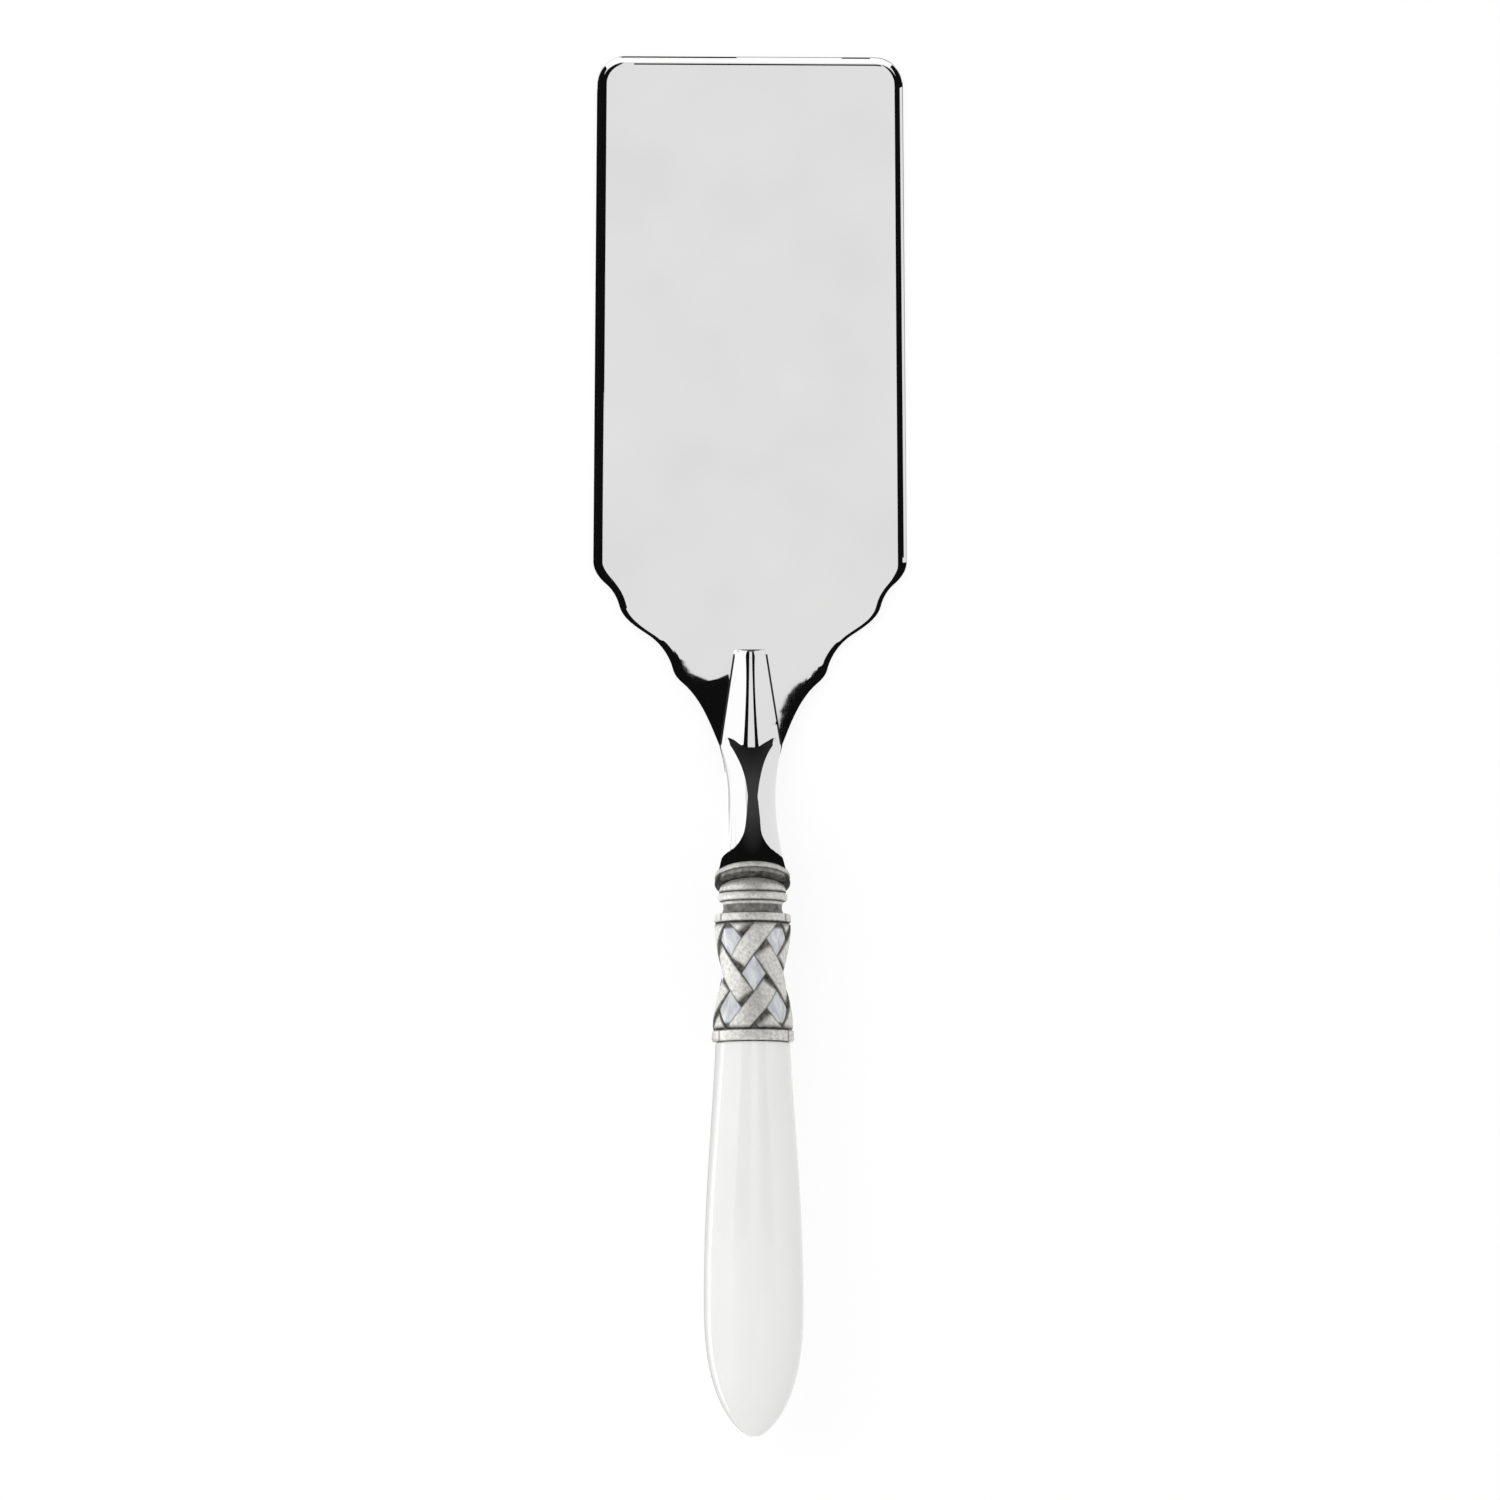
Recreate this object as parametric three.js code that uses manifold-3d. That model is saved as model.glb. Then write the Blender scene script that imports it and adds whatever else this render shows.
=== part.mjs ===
// Lasagna server: steel blade and forged neck, silver ferrule with a woven sleeve, pearl acrylic handle.
// Millimetres. +Y points from the butt to the blade tip, +Z is up and the blade lies on z = 0.
// While it is built, y = 0 is the rear edge of the blade, where the neck begins.
import * as THREE from "three";
import { mergeVertices } from "three/addons/utils/BufferGeometryUtils.js";
import Module from "manifold-3d";

const wasm = await Module();
wasm.setup();

// Blade sheet
const BLADE_LENGTH = 157;
const BLADE_TIP_HALF_WIDTH = 34.8;
const BLADE_HALF_WIDTH = 35.6;
const SHEET = 1.6;
const TIP_CORNER_RADIUS = 6.4;
const RIM_WIDTH = 2;
const RIM_DROP = 0.9;
const UNDER_EDGE = 0.3;
const BEND_LENGTH = 19.5;
const BEND_ANGLE = THREE.MathUtils.degToRad(16);

// Scalloped shoulders: places ahead of the blade's rear edge, and headings away from straight back
const SHOULDER_START = 42;
const UPPER_STEP_IN = 2.9;
const UPPER_STEP_AT = 36.9;
const UPPER_NOTCH_IN = 5.9;
const UPPER_NOTCH_AT = 32;
const MIDDLE_IN = 12.7;
const MIDDLE_AT = 25.2;
const LOWER_NOTCH_OUT = 10.5;
const LOWER_NOTCH_AT = 17.5;
const LOWER_STEP_OUT = 8.4;
const LOWER_STEP_AT = 14.5;
const STEP_HEADING = THREE.MathUtils.degToRad(50);
const NOTCH_HEADING = THREE.MathUtils.degToRad(14);
const SHOULDER_HEADING = THREE.MathUtils.degToRad(56);
const ROOT_HEADING = THREE.MathUtils.degToRad(22);

// Forged neck with its tongue on the blade
const ROOT_HALF_WIDTH = 7;
const TONGUE_LENGTH = 22;
const TONGUE_TIP_HALF_WIDTH = 2.8;
const TONGUE_TIP_ROUND = 1.8;
const TONGUE_TIP_HEIGHT = 1;
const TONGUE_HEIGHT = 3;
const TONGUE_EDGE = 0.35;
const STRIP_TIP_HALF_WIDTH = 0.75;
const STRIP_HALF_WIDTH = 1.3;
const TONGUE_OVERLAP = 1;
const CREASE_LENGTH = 4;
const NECK_LENGTH = 31.6;
const NECK_RISE = 10.8;
const WAIST_AT = 12.3;
const WAIST_HALF_WIDTH = 5.45;
const WAIST_HALF_HEIGHT = 4.8;
const FLANGE_RADIUS = 8.5;
const FLANGE_THICKNESS = 2.6;
const FLANGE_EDGE = 0.5;
const FLANGE_TILT = THREE.MathUtils.degToRad(22);
const FLARE_POWER = 1.8;

// Ferrule, measured back along the handle's axis from the middle of the flange's rear face
const HANDLE_TILT = THREE.MathUtils.degToRad(5);
const DOME_RADIUS = 7.5;
const DOME_FRONT_RADIUS = 6.6;
const DOME_REACH = 4;
const BEAD_AT = 1.5;
const BEAD_WIDTH = 2.1;
const BEAD_RADIUS = 7.85;
const SPOOL_WIDTH = 2.6;
const SPOOL_RADIUS = 6.95;
const SPOOL_GROOVE = 0.4;
const UPPER_COLLAR_WIDTH = 2;
const UPPER_COLLAR_RADIUS = 8.6;
const LOWER_COLLAR_WIDTH = 2.5;
const LOWER_COLLAR_RADIUS = 9.2;
const COLLAR_EDGE = 0.5;

// Woven sleeve
const SLEEVE_LENGTH = 23.6;
const SLEEVE_FRONT_RADIUS = 8.6;
const SLEEVE_WAIST_RADIUS = 7.5;
const SLEEVE_REAR_RADIUS = 9.1;
const SLEEVE_WAIST_AT = 11.2;
const STRAPS_EACH_WAY = 4;
const CROSSING_PITCH = 7.75;
const FIRST_CROSSING = 3.9;
const STRAP_WIDTH = 4.2;
const STRAP_THICKNESS = 0.7;
const WEAVE_RISE = 0.25;

// Handle
const HANDLE_LENGTH = 87.5;
const HANDLE_FRONT_RADIUS = 8.4;
const HANDLE_FRONT_EDGE = 0.5;
const HANDLE_HALF_WIDTH = 11.1;
const HANDLE_SWELL_POWER = 1.25;
const HANDLE_HALF_THICKNESS = 8.2;
const BUTT_LENGTH = 30.2;
const BUTT_FULLNESS = 2.55;
const BUTT_ROUNDNESS = 1.6;

// Tang and its adhesive
const TANG_RADIUS = 2.5;
const TANG_IN_NECK = 7;
const TANG_IN_HANDLE = 55;
const ADHESIVE_WALL = 0.8;

// Gaps between pieces
const BRAZE_GAP = 0.15;
const SEAT_GAP = 0.2;
const MITRE_GAP = 0.3;

// Fineness of the facets
const ARC_STEPS = 6;
const RIM_STEPS = 4;
const COLLAR_ARC_STEPS = 2;
const ROUND_SIDES = 32;
const HANDLE_STEPS = 14;
const BUTT_STEPS = 12;
const NECK_STEPS = 22;
const STRAP_STEPS = 22;
const TIP_ROUND_SHARES = [0, 0.25, 0.6];
const MERGE_DISTANCE = 1e-4;

const toRear = (distance) => -distance;
const between = THREE.MathUtils.lerp;
const share = (value, from, to) => THREE.MathUtils.clamp((value - from) / (to - from), 0, 1);

// Joins and cuts work on closed solids that hold positions only.
function toSolid(geometry) {
  const bare = geometry.clone();
  bare.deleteAttribute("normal");
  bare.deleteAttribute("uv");
  const merged = mergeVertices(bare, MERGE_DISTANCE);
  const vertProperties = new Float32Array(merged.attributes.position.array);
  const triVerts = new Uint32Array(merged.index.array);
  return new wasm.Manifold(new wasm.Mesh({ numProp: 3, vertProperties, triVerts }));
}

function toGeometry(solid) {
  const mesh = solid.getMesh();
  const geometry = new THREE.BufferGeometry();
  geometry.setAttribute("position", new THREE.BufferAttribute(mesh.vertProperties, 3));
  geometry.setIndex(new THREE.BufferAttribute(mesh.triVerts, 1));
  geometry.computeVertexNormals();
  return geometry;
}

function indexedGeometry(points, index) {
  const geometry = new THREE.BufferGeometry();
  geometry.setFromPoints(points);
  geometry.setIndex(index);
  geometry.computeVertexNormals();
  return geometry;
}

// Side faces between rings of equal point counts, which turn anticlockwise about the way they advance.
function sideFaces(ringCount, pointCount) {
  const index = [];
  for (let ring = 0; ring + 1 < ringCount; ring++) {
    for (let i = 0; i < pointCount; i++) {
      const a = ring * pointCount + i;
      const b = ring * pointCount + ((i + 1) % pointCount);
      index.push(a, b, b + pointCount, a, b + pointCount, a + pointCount);
    }
  }
  return index;
}

// Solid through a stack of rings, closed at each end by a fan round the ring's middle.
function loft(rings) {
  const pointCount = rings[0].length;
  const points = rings.flat();
  const index = sideFaces(rings.length, pointCount);
  const middleOf = (ring) => ring.reduce((sum, p) => sum.add(p), new THREE.Vector3()).divideScalar(pointCount);
  const firstMiddle = points.length;
  const lastMiddle = points.length + 1;
  const lastRing = (rings.length - 1) * pointCount;
  points.push(middleOf(rings[0]), middleOf(rings[rings.length - 1]));
  for (let i = 0; i < pointCount; i++) {
    const next = (i + 1) % pointCount;
    index.push(firstMiddle, next, i);
    index.push(lastMiddle, lastRing + i, lastRing + next);
  }
  return indexedGeometry(points, index);
}

function cylinderAlongY(radius, front, rear) {
  const geometry = new THREE.CylinderGeometry(radius, radius, front - rear, ROUND_SIDES);
  return geometry.translate(0, (front + rear) / 2, 0);
}

// Height of the blade's underside: flat, then an arc that turns up by the bend angle to the rear edge.
function bladeLift(y) {
  const radius = BEND_LENGTH / Math.sin(BEND_ANGLE);
  const past = Math.max(BEND_LENGTH - y, 0);
  return radius - Math.sqrt(radius * radius - past * past);
}

// Right half of the blade's outline, from its rear corner to the start of the tip edge.
function bladeHalfOutline() {
  const stops = [
    { x: ROOT_HALF_WIDTH, y: 0, heading: ROOT_HEADING },
    { x: ROOT_HALF_WIDTH + LOWER_STEP_OUT, y: LOWER_STEP_AT, heading: STEP_HEADING },
    { x: ROOT_HALF_WIDTH + LOWER_NOTCH_OUT, y: LOWER_NOTCH_AT, heading: NOTCH_HEADING },
    { x: BLADE_HALF_WIDTH - MIDDLE_IN, y: MIDDLE_AT, heading: SHOULDER_HEADING },
    { x: BLADE_HALF_WIDTH - UPPER_NOTCH_IN, y: UPPER_NOTCH_AT, heading: NOTCH_HEADING },
    { x: BLADE_HALF_WIDTH - UPPER_STEP_IN, y: UPPER_STEP_AT, heading: STEP_HEADING },
    { x: BLADE_HALF_WIDTH, y: SHOULDER_START, heading: 0 },
  ];
  const path = new THREE.Path();
  path.moveTo(stops[0].x, stops[0].y);
  for (let i = 1; i < stops.length; i++) {
    const from = stops[i - 1];
    const to = stops[i];
    const reach = Math.hypot(to.x - from.x, to.y - from.y) / 3;
    path.bezierCurveTo(
      from.x + reach * Math.sin(from.heading),
      from.y + reach * Math.cos(from.heading),
      to.x - reach * Math.sin(to.heading),
      to.y - reach * Math.cos(to.heading),
      to.x,
      to.y,
    );
  }
  const cornerX = BLADE_TIP_HALF_WIDTH - TIP_CORNER_RADIUS;
  const cornerY = BLADE_LENGTH - TIP_CORNER_RADIUS;
  path.absarc(cornerX, cornerY, TIP_CORNER_RADIUS, 0, Math.PI / 2);
  return path.getPoints(ARC_STEPS);
}

// Inward offset of each outline point that keeps both of its edges at one distance.
function insetDirections(outline) {
  const count = outline.length;
  return outline.map((point, i) => {
    const before = point.clone().sub(outline[(i + count - 1) % count]).normalize();
    const after = outline[(i + 1) % count].clone().sub(point).normalize();
    const along = before.clone().add(after).normalize();
    return new THREE.Vector2(-along.y, along.x).divideScalar(along.dot(after));
  });
}

// The rim is a quarter ellipse all round the top, above a small rounded lower edge.
function bladeGeometry() {
  const half = bladeHalfOutline();
  const mirrored = half.map((p) => new THREE.Vector2(-p.x, p.y)).reverse();
  const outline = [...half, ...mirrored];
  const inward = insetDirections(outline);
  const rimDrop = Math.min(RIM_DROP, SHEET - UNDER_EDGE);
  const levels = [
    { inset: UNDER_EDGE, height: 0 },
    { inset: 0, height: UNDER_EDGE },
  ];
  for (let step = 0; step <= RIM_STEPS; step++) {
    const angle = (step / RIM_STEPS) * (Math.PI / 2);
    const inset = RIM_WIDTH * (1 - Math.cos(angle));
    levels.push({ inset, height: SHEET - rimDrop * (1 - Math.sin(angle)) });
  }
  const rings = levels.map(({ inset, height }) =>
    outline.map((p, i) => {
      const x = p.x + inset * inward[i].x;
      const y = p.y + inset * inward[i].y;
      return new THREE.Vector3(x, y, height + bladeLift(y));
    }),
  );
  const index = sideFaces(rings.length, outline.length);
  const top = (rings.length - 1) * outline.length;
  for (let right = 0; right + 1 < half.length; right++) {
    const left = outline.length - 1 - right;
    index.push(left, right + 1, right, left, left - 1, right + 1);
    index.push(top + left, top + right, top + right + 1, top + left, top + right + 1, top + left - 1);
  }
  return indexedGeometry(rings.flat(), index);
}

// Points along a run of the section's edge, leaving out its last point.
function run(from, to, count) {
  return Array.from({ length: count }, (_, i) => from.clone().lerp(to, i / count));
}

const SECTION_RUNS = [5, 2, 5, 3, 5, 2];
const SECTION_ANGLES = [-140, -40, 0, 62, 118, 180, 220].map(THREE.MathUtils.degToRad);

// Faceted section: flat base, short upright sides, two sloping flanks and a flat strip on top.
function facetedSection(halfWidth, stripHalfWidth, base, side, top) {
  const corners = [
    new THREE.Vector2(-halfWidth, base),
    new THREE.Vector2(halfWidth, base),
    new THREE.Vector2(halfWidth, base + side),
    new THREE.Vector2(stripHalfWidth, top),
    new THREE.Vector2(-stripHalfWidth, top),
    new THREE.Vector2(-halfWidth, base + side),
  ];
  return corners.flatMap((corner, i) => run(corner, corners[(i + 1) % corners.length], SECTION_RUNS[i]));
}

// Oval section whose points match those of the faceted one.
function ovalSection(halfWidth, halfHeight, middle) {
  return SECTION_RUNS.flatMap((count, r) =>
    Array.from({ length: count }, (_, i) => {
      const angle = between(SECTION_ANGLES[r], SECTION_ANGLES[r + 1], i / count);
      return new THREE.Vector2(halfWidth * Math.cos(angle), middle + halfHeight * Math.sin(angle));
    }),
  );
}

const ROOT_HEIGHT = SHEET + BRAZE_GAP + TONGUE_HEIGHT;
const ROOT_MIDDLE = bladeLift(0) + ROOT_HEIGHT / 2;

// Tongue: a tapering facet strip that lies on the blade and rises to the crease.
function tongueGeometry() {
  const distances = TIP_ROUND_SHARES.map((part) => part * TONGUE_TIP_ROUND);
  const straight = TONGUE_LENGTH + TONGUE_OVERLAP - TONGUE_TIP_ROUND;
  for (let step = 0; step <= ARC_STEPS; step++) {
    distances.push(TONGUE_TIP_ROUND + (step / ARC_STEPS) * straight);
  }
  const rings = distances.map((distance) => {
    const y = TONGUE_LENGTH - distance;
    const along = share(distance, 0, TONGUE_LENGTH);
    const left = 1 - share(distance, -TONGUE_TIP_ROUND / ARC_STEPS, TONGUE_TIP_ROUND);
    const round = Math.sqrt(1 - left * left);
    const halfWidth = between(TONGUE_TIP_HALF_WIDTH, ROOT_HALF_WIDTH, along) * round;
    const stripHalfWidth = between(STRIP_TIP_HALF_WIDTH, STRIP_HALF_WIDTH, along) * round;
    const height = between(TONGUE_TIP_HEIGHT, TONGUE_HEIGHT, along) * round;
    const base = bladeLift(Math.max(y, 0)) + SHEET + BRAZE_GAP;
    const section = facetedSection(halfWidth, stripHalfWidth, base, TONGUE_EDGE * round, base + height);
    return section.map((p) => new THREE.Vector3(p.x, y, p.y));
  });
  return loft(rings);
}

// Height of the neck's middle line, which leaves along the bend and arrives along the flange's axis.
function neckMiddle(distance) {
  const t = distance / NECK_LENGTH;
  const leave = Math.tan(BEND_ANGLE) * NECK_LENGTH;
  const arrive = Math.tan(FLANGE_TILT) * NECK_LENGTH;
  const rise = NECK_RISE * t * t * (3 - 2 * t);
  return ROOT_MIDDLE + rise + leave * t * (1 - t) * (1 - t) - arrive * t * t * (1 - t);
}

// Neck behind the crease: faceted root, round waist, flare and tilted flange.
function neckBodyGeometry() {
  const flangeFront = NECK_LENGTH - FLANGE_THICKNESS;
  const distances = [];
  for (let step = 0; step <= NECK_STEPS; step++) {
    distances.push(between(SEAT_GAP, NECK_LENGTH - FLANGE_EDGE, step / NECK_STEPS));
  }
  distances.push(NECK_LENGTH);
  const rings = distances.map((distance) => {
    const toWaist = share(distance, 0, WAIST_AT);
    const flare = share(distance, WAIST_AT, flangeFront) ** FLARE_POWER;
    const edge = share(distance, NECK_LENGTH - FLANGE_EDGE, NECK_LENGTH) * FLANGE_EDGE;
    const rootToWaist = (1 - toWaist) ** 2;
    const waistWidth = between(WAIST_HALF_WIDTH, ROOT_HALF_WIDTH, rootToWaist);
    const waistHeight = between(WAIST_HALF_HEIGHT, ROOT_HEIGHT / 2, rootToWaist);
    const halfWidth = between(waistWidth, FLANGE_RADIUS, flare) - edge;
    const halfHeight = between(waistHeight, FLANGE_RADIUS, flare) - edge;
    const oval = ovalSection(halfWidth, halfHeight, 0);
    const bottom = -ROOT_HEIGHT / 2;
    const side = SHEET + BRAZE_GAP + TONGUE_EDGE;
    const faceted = facetedSection(ROOT_HALF_WIDTH, STRIP_HALF_WIDTH, bottom, side, -bottom);
    const roundness = THREE.MathUtils.smoothstep(distance, SEAT_GAP, CREASE_LENGTH);
    const tilt = FLANGE_TILT * share(distance, 0, flangeFront);
    return oval.map((p, i) => {
      const q = faceted[i].clone().lerp(p, roundness);
      const y = toRear(distance) + q.y * Math.sin(tilt);
      return new THREE.Vector3(q.x, y, neckMiddle(distance) + q.y * Math.cos(tilt));
    });
  });
  return loft(rings);
}

// The handle's axis starts in the middle of the flange's rear face.
const axisStart = new THREE.Vector3(0, toRear(NECK_LENGTH), neckMiddle(NECK_LENGTH));

function onHandleAxis(geometry) {
  return geometry.rotateX(-HANDLE_TILT).translate(axisStart.x, axisStart.y, axisStart.z);
}

// One forging with a blind socket for the tang.
function neckGeometry() {
  const socketDepth = TANG_IN_NECK + SEAT_GAP;
  const socket = cylinderAlongY(TANG_RADIUS + SEAT_GAP, socketDepth, toRear(FLANGE_THICKNESS));
  const forged = toSolid(tongueGeometry()).add(toSolid(neckBodyGeometry()));
  return toGeometry(forged.subtract(toSolid(onHandleAxis(socket))));
}

// Stations along the handle's axis
const SPOOL_FRONT = BEAD_AT + BEAD_WIDTH;
const CAP_REAR = SPOOL_FRONT + SPOOL_WIDTH;
const UPPER_COLLAR_AT = CAP_REAR + SEAT_GAP;
const SLEEVE_AT = UPPER_COLLAR_AT + UPPER_COLLAR_WIDTH + SEAT_GAP;
const LOWER_COLLAR_AT = SLEEVE_AT + SLEEVE_LENGTH + SEAT_GAP;
const HANDLE_AT = LOWER_COLLAR_AT + LOWER_COLLAR_WIDTH + SEAT_GAP;
const HANDLE_END = HANDLE_AT + HANDLE_LENGTH;

// Outer radius of the woven sleeve at a distance from its front: a waist between two wider ends.
function sleeveRadius(distance) {
  const near = THREE.MathUtils.smoothstep(distance, 0, SLEEVE_WAIST_AT);
  const far = THREE.MathUtils.smoothstep(distance, SLEEVE_WAIST_AT, SLEEVE_LENGTH);
  const front = between(SLEEVE_FRONT_RADIUS, SLEEVE_WAIST_RADIUS, near);
  return front + (SLEEVE_REAR_RADIUS - SLEEVE_WAIST_RADIUS) * far;
}

const SLEEVE_DEPTH = 2 * WEAVE_RISE + STRAP_THICKNESS;

function coreRadius(distance) {
  return sleeveRadius(distance) - SLEEVE_DEPTH - SEAT_GAP;
}

// Dome, bead and grooved spool turned in one, then mitred to the tilted flange.
function ferruleCapGeometry() {
  const bore = TANG_RADIUS + SEAT_GAP;
  const beadBulge = BEAD_RADIUS - SPOOL_RADIUS;
  const profile = new THREE.Path();
  profile.moveTo(bore, toRear(CAP_REAR));
  profile.lineTo(SPOOL_RADIUS, toRear(CAP_REAR));
  profile.quadraticCurveTo(
    SPOOL_RADIUS - 2 * SPOOL_GROOVE,
    toRear(SPOOL_FRONT + SPOOL_WIDTH / 2),
    SPOOL_RADIUS,
    toRear(SPOOL_FRONT),
  );
  profile.absellipse(
    SPOOL_RADIUS,
    toRear(BEAD_AT + BEAD_WIDTH / 2),
    beadBulge,
    BEAD_WIDTH / 2,
    -Math.PI / 2,
    Math.PI / 2,
  );
  profile.lineTo(DOME_RADIUS, toRear(BEAD_AT));
  profile.quadraticCurveTo(DOME_RADIUS, DOME_REACH / 2, DOME_FRONT_RADIUS, DOME_REACH);
  profile.lineTo(bore, DOME_REACH);
  profile.lineTo(bore, toRear(CAP_REAR));
  const turned = new THREE.LatheGeometry(profile.getPoints(ARC_STEPS), ROUND_SIDES);
  const block = 4 * FLANGE_RADIUS;
  const cutter = new THREE.BoxGeometry(block, block, block);
  cutter.translate(0, block / 2 - MITRE_GAP, 0).rotateX(HANDLE_TILT - FLANGE_TILT);
  return toGeometry(toSolid(turned).subtract(toSolid(cutter)));
}

// Plain band with rounded outer edges.
function collarGeometry(front, width, innerRadius, outerRadius) {
  const rear = front + width;
  const flat = outerRadius - COLLAR_EDGE;
  const profile = new THREE.Path();
  profile.moveTo(innerRadius, toRear(rear));
  profile.lineTo(flat, toRear(rear));
  profile.absarc(flat, toRear(rear - COLLAR_EDGE), COLLAR_EDGE, -Math.PI / 2, 0);
  profile.absarc(flat, toRear(front + COLLAR_EDGE), COLLAR_EDGE, 0, Math.PI / 2);
  profile.lineTo(innerRadius, toRear(front));
  profile.lineTo(innerRadius, toRear(rear));
  return new THREE.LatheGeometry(profile.getPoints(COLLAR_ARC_STEPS), ROUND_SIDES);
}

// One strap of the weave: a band that winds round the waisted core and passes over and under the others.
function strapGeometry(turnWay, startAngle) {
  const overrun = STRAP_WIDTH;
  const turnRate = (turnWay * Math.PI) / STRAPS_EACH_WAY / CROSSING_PITCH;
  const rings = [];
  for (let step = 0; step <= STRAP_STEPS; step++) {
    const middle = between(-overrun, SLEEVE_LENGTH + overrun, step / STRAP_STEPS);
    const radius = sleeveRadius(middle) - SLEEVE_DEPTH / 2;
    const lean = Math.atan(radius * turnRate);
    const sectionPoint = (sideways, outwards) => {
      const along = middle - sideways * Math.sin(lean);
      const angle = startAngle + turnRate * (middle - FIRST_CROSSING) + (sideways * Math.cos(lean)) / radius;
      const wave = turnWay * WEAVE_RISE * Math.cos((Math.PI * (middle - FIRST_CROSSING)) / CROSSING_PITCH);
      const out = sleeveRadius(along) - SLEEVE_DEPTH / 2 - wave + outwards;
      return new THREE.Vector3(out * Math.sin(angle), toRear(SLEEVE_AT + along), out * Math.cos(angle));
    };
    const halfWidth = STRAP_WIDTH / 2;
    const halfThickness = STRAP_THICKNESS / 2;
    const inner = [-halfWidth, 0, halfWidth].map((sideways) => sectionPoint(sideways, -halfThickness));
    const outer = [halfWidth, 0, -halfWidth].map((sideways) => sectionPoint(sideways, halfThickness));
    rings.push([...inner, ...outer]);
  }
  return loft(rings);
}

// Plain weave cast as one openwork sleeve, trimmed square at both collars.
function weaveSleeveGeometry() {
  const widest = 2 * Math.max(SLEEVE_FRONT_RADIUS, SLEEVE_REAR_RADIUS);
  const trim = toSolid(cylinderAlongY(widest, toRear(SLEEVE_AT), toRear(SLEEVE_AT + SLEEVE_LENGTH)));
  let straps = null;
  for (let i = 0; i < STRAPS_EACH_WAY; i++) {
    const startAngle = (i * 2 * Math.PI) / STRAPS_EACH_WAY;
    for (const turnWay of [-1, 1]) {
      const strap = toSolid(strapGeometry(turnWay, startAngle));
      straps = straps ? straps.add(strap) : strap;
    }
  }
  return toGeometry(trim.intersect(straps));
}

function ovalRing(distance, halfWidth, halfThickness) {
  return Array.from({ length: ROUND_SIDES }, (_, i) => {
    const angle = (i / ROUND_SIDES) * 2 * Math.PI;
    return new THREE.Vector3(halfWidth * Math.cos(angle), toRear(distance), halfThickness * Math.sin(angle));
  });
}

// Acrylic handle: waisted core inside the ferrule, shoulder, swelling oval grip and pointed butt.
function handleGeometry() {
  const rings = [];
  const round = (distance, radius) => rings.push(ovalRing(distance, radius, radius));
  round(UPPER_COLLAR_AT, coreRadius(0));
  for (let step = 0; step <= HANDLE_STEPS; step++) {
    const distance = (step / HANDLE_STEPS) * SLEEVE_LENGTH;
    round(SLEEVE_AT + distance, coreRadius(distance));
  }
  round(HANDLE_AT, coreRadius(SLEEVE_LENGTH));
  round(HANDLE_AT, HANDLE_FRONT_RADIUS - HANDLE_FRONT_EDGE);
  const gripStart = HANDLE_AT + HANDLE_FRONT_EDGE;
  const gripEnd = HANDLE_END - BUTT_LENGTH;
  for (let step = 0; step <= HANDLE_STEPS; step++) {
    const swell = Math.sin(((step / HANDLE_STEPS) * Math.PI) / 2) ** HANDLE_SWELL_POWER;
    const halfWidth = between(HANDLE_FRONT_RADIUS, HANDLE_HALF_WIDTH, swell);
    const halfThickness = between(HANDLE_FRONT_RADIUS, HANDLE_HALF_THICKNESS, swell);
    rings.push(ovalRing(between(gripStart, gripEnd, step / HANDLE_STEPS), halfWidth, halfThickness));
  }
  for (let step = 1; step < BUTT_STEPS; step++) {
    const along = Math.sin((step / BUTT_STEPS) * (Math.PI / 2));
    const taper = (1 - along ** BUTT_FULLNESS) ** (1 / BUTT_ROUNDNESS);
    const distance = gripEnd + along * BUTT_LENGTH;
    rings.push(ovalRing(distance, HANDLE_HALF_WIDTH * taper, HANDLE_HALF_THICKNESS * taper));
  }
  const boreRadius = TANG_RADIUS + ADHESIVE_WALL;
  const boreEnd = UPPER_COLLAR_AT + TANG_IN_HANDLE + SEAT_GAP;
  const bore = cylinderAlongY(boreRadius, DOME_REACH, toRear(boreEnd));
  return toGeometry(toSolid(loft(rings)).subtract(toSolid(bore)));
}

function tangGeometry() {
  return cylinderAlongY(TANG_RADIUS, TANG_IN_NECK, toRear(UPPER_COLLAR_AT + TANG_IN_HANDLE));
}

// Cured adhesive fills the bore round the tang.
function tangAdhesiveGeometry() {
  const filmGap = SEAT_GAP / 2;
  const inner = TANG_RADIUS + filmGap;
  const outer = TANG_RADIUS + ADHESIVE_WALL - filmGap;
  const front = UPPER_COLLAR_AT;
  const rear = UPPER_COLLAR_AT + TANG_IN_HANDLE;
  const profile = [
    new THREE.Vector2(inner, toRear(rear)),
    new THREE.Vector2(outer, toRear(rear)),
    new THREE.Vector2(outer, toRear(front)),
    new THREE.Vector2(inner, toRear(front)),
    new THREE.Vector2(inner, toRear(rear)),
  ];
  return new THREE.LatheGeometry(profile, ROUND_SIDES);
}

const finish = (color, roughness, metalness) => ({ color, roughness, metalness });
const POLISHED_STEEL = finish(0xdcdcdc, 0.12, 1);
const ANTIQUE_SILVER = finish(0xc9c7c1, 0.38, 1);
const PEARL_ACRYLIC = finish(0xeeeeec, 0.18, 0);
const CURED_EPOXY = finish(0xd9cfae, 0.4, 0);

function piece(name, geometry, look) {
  const mesh = new THREE.Mesh(geometry, new THREE.MeshStandardMaterial(look));
  mesh.name = name;
  return mesh;
}

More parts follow.
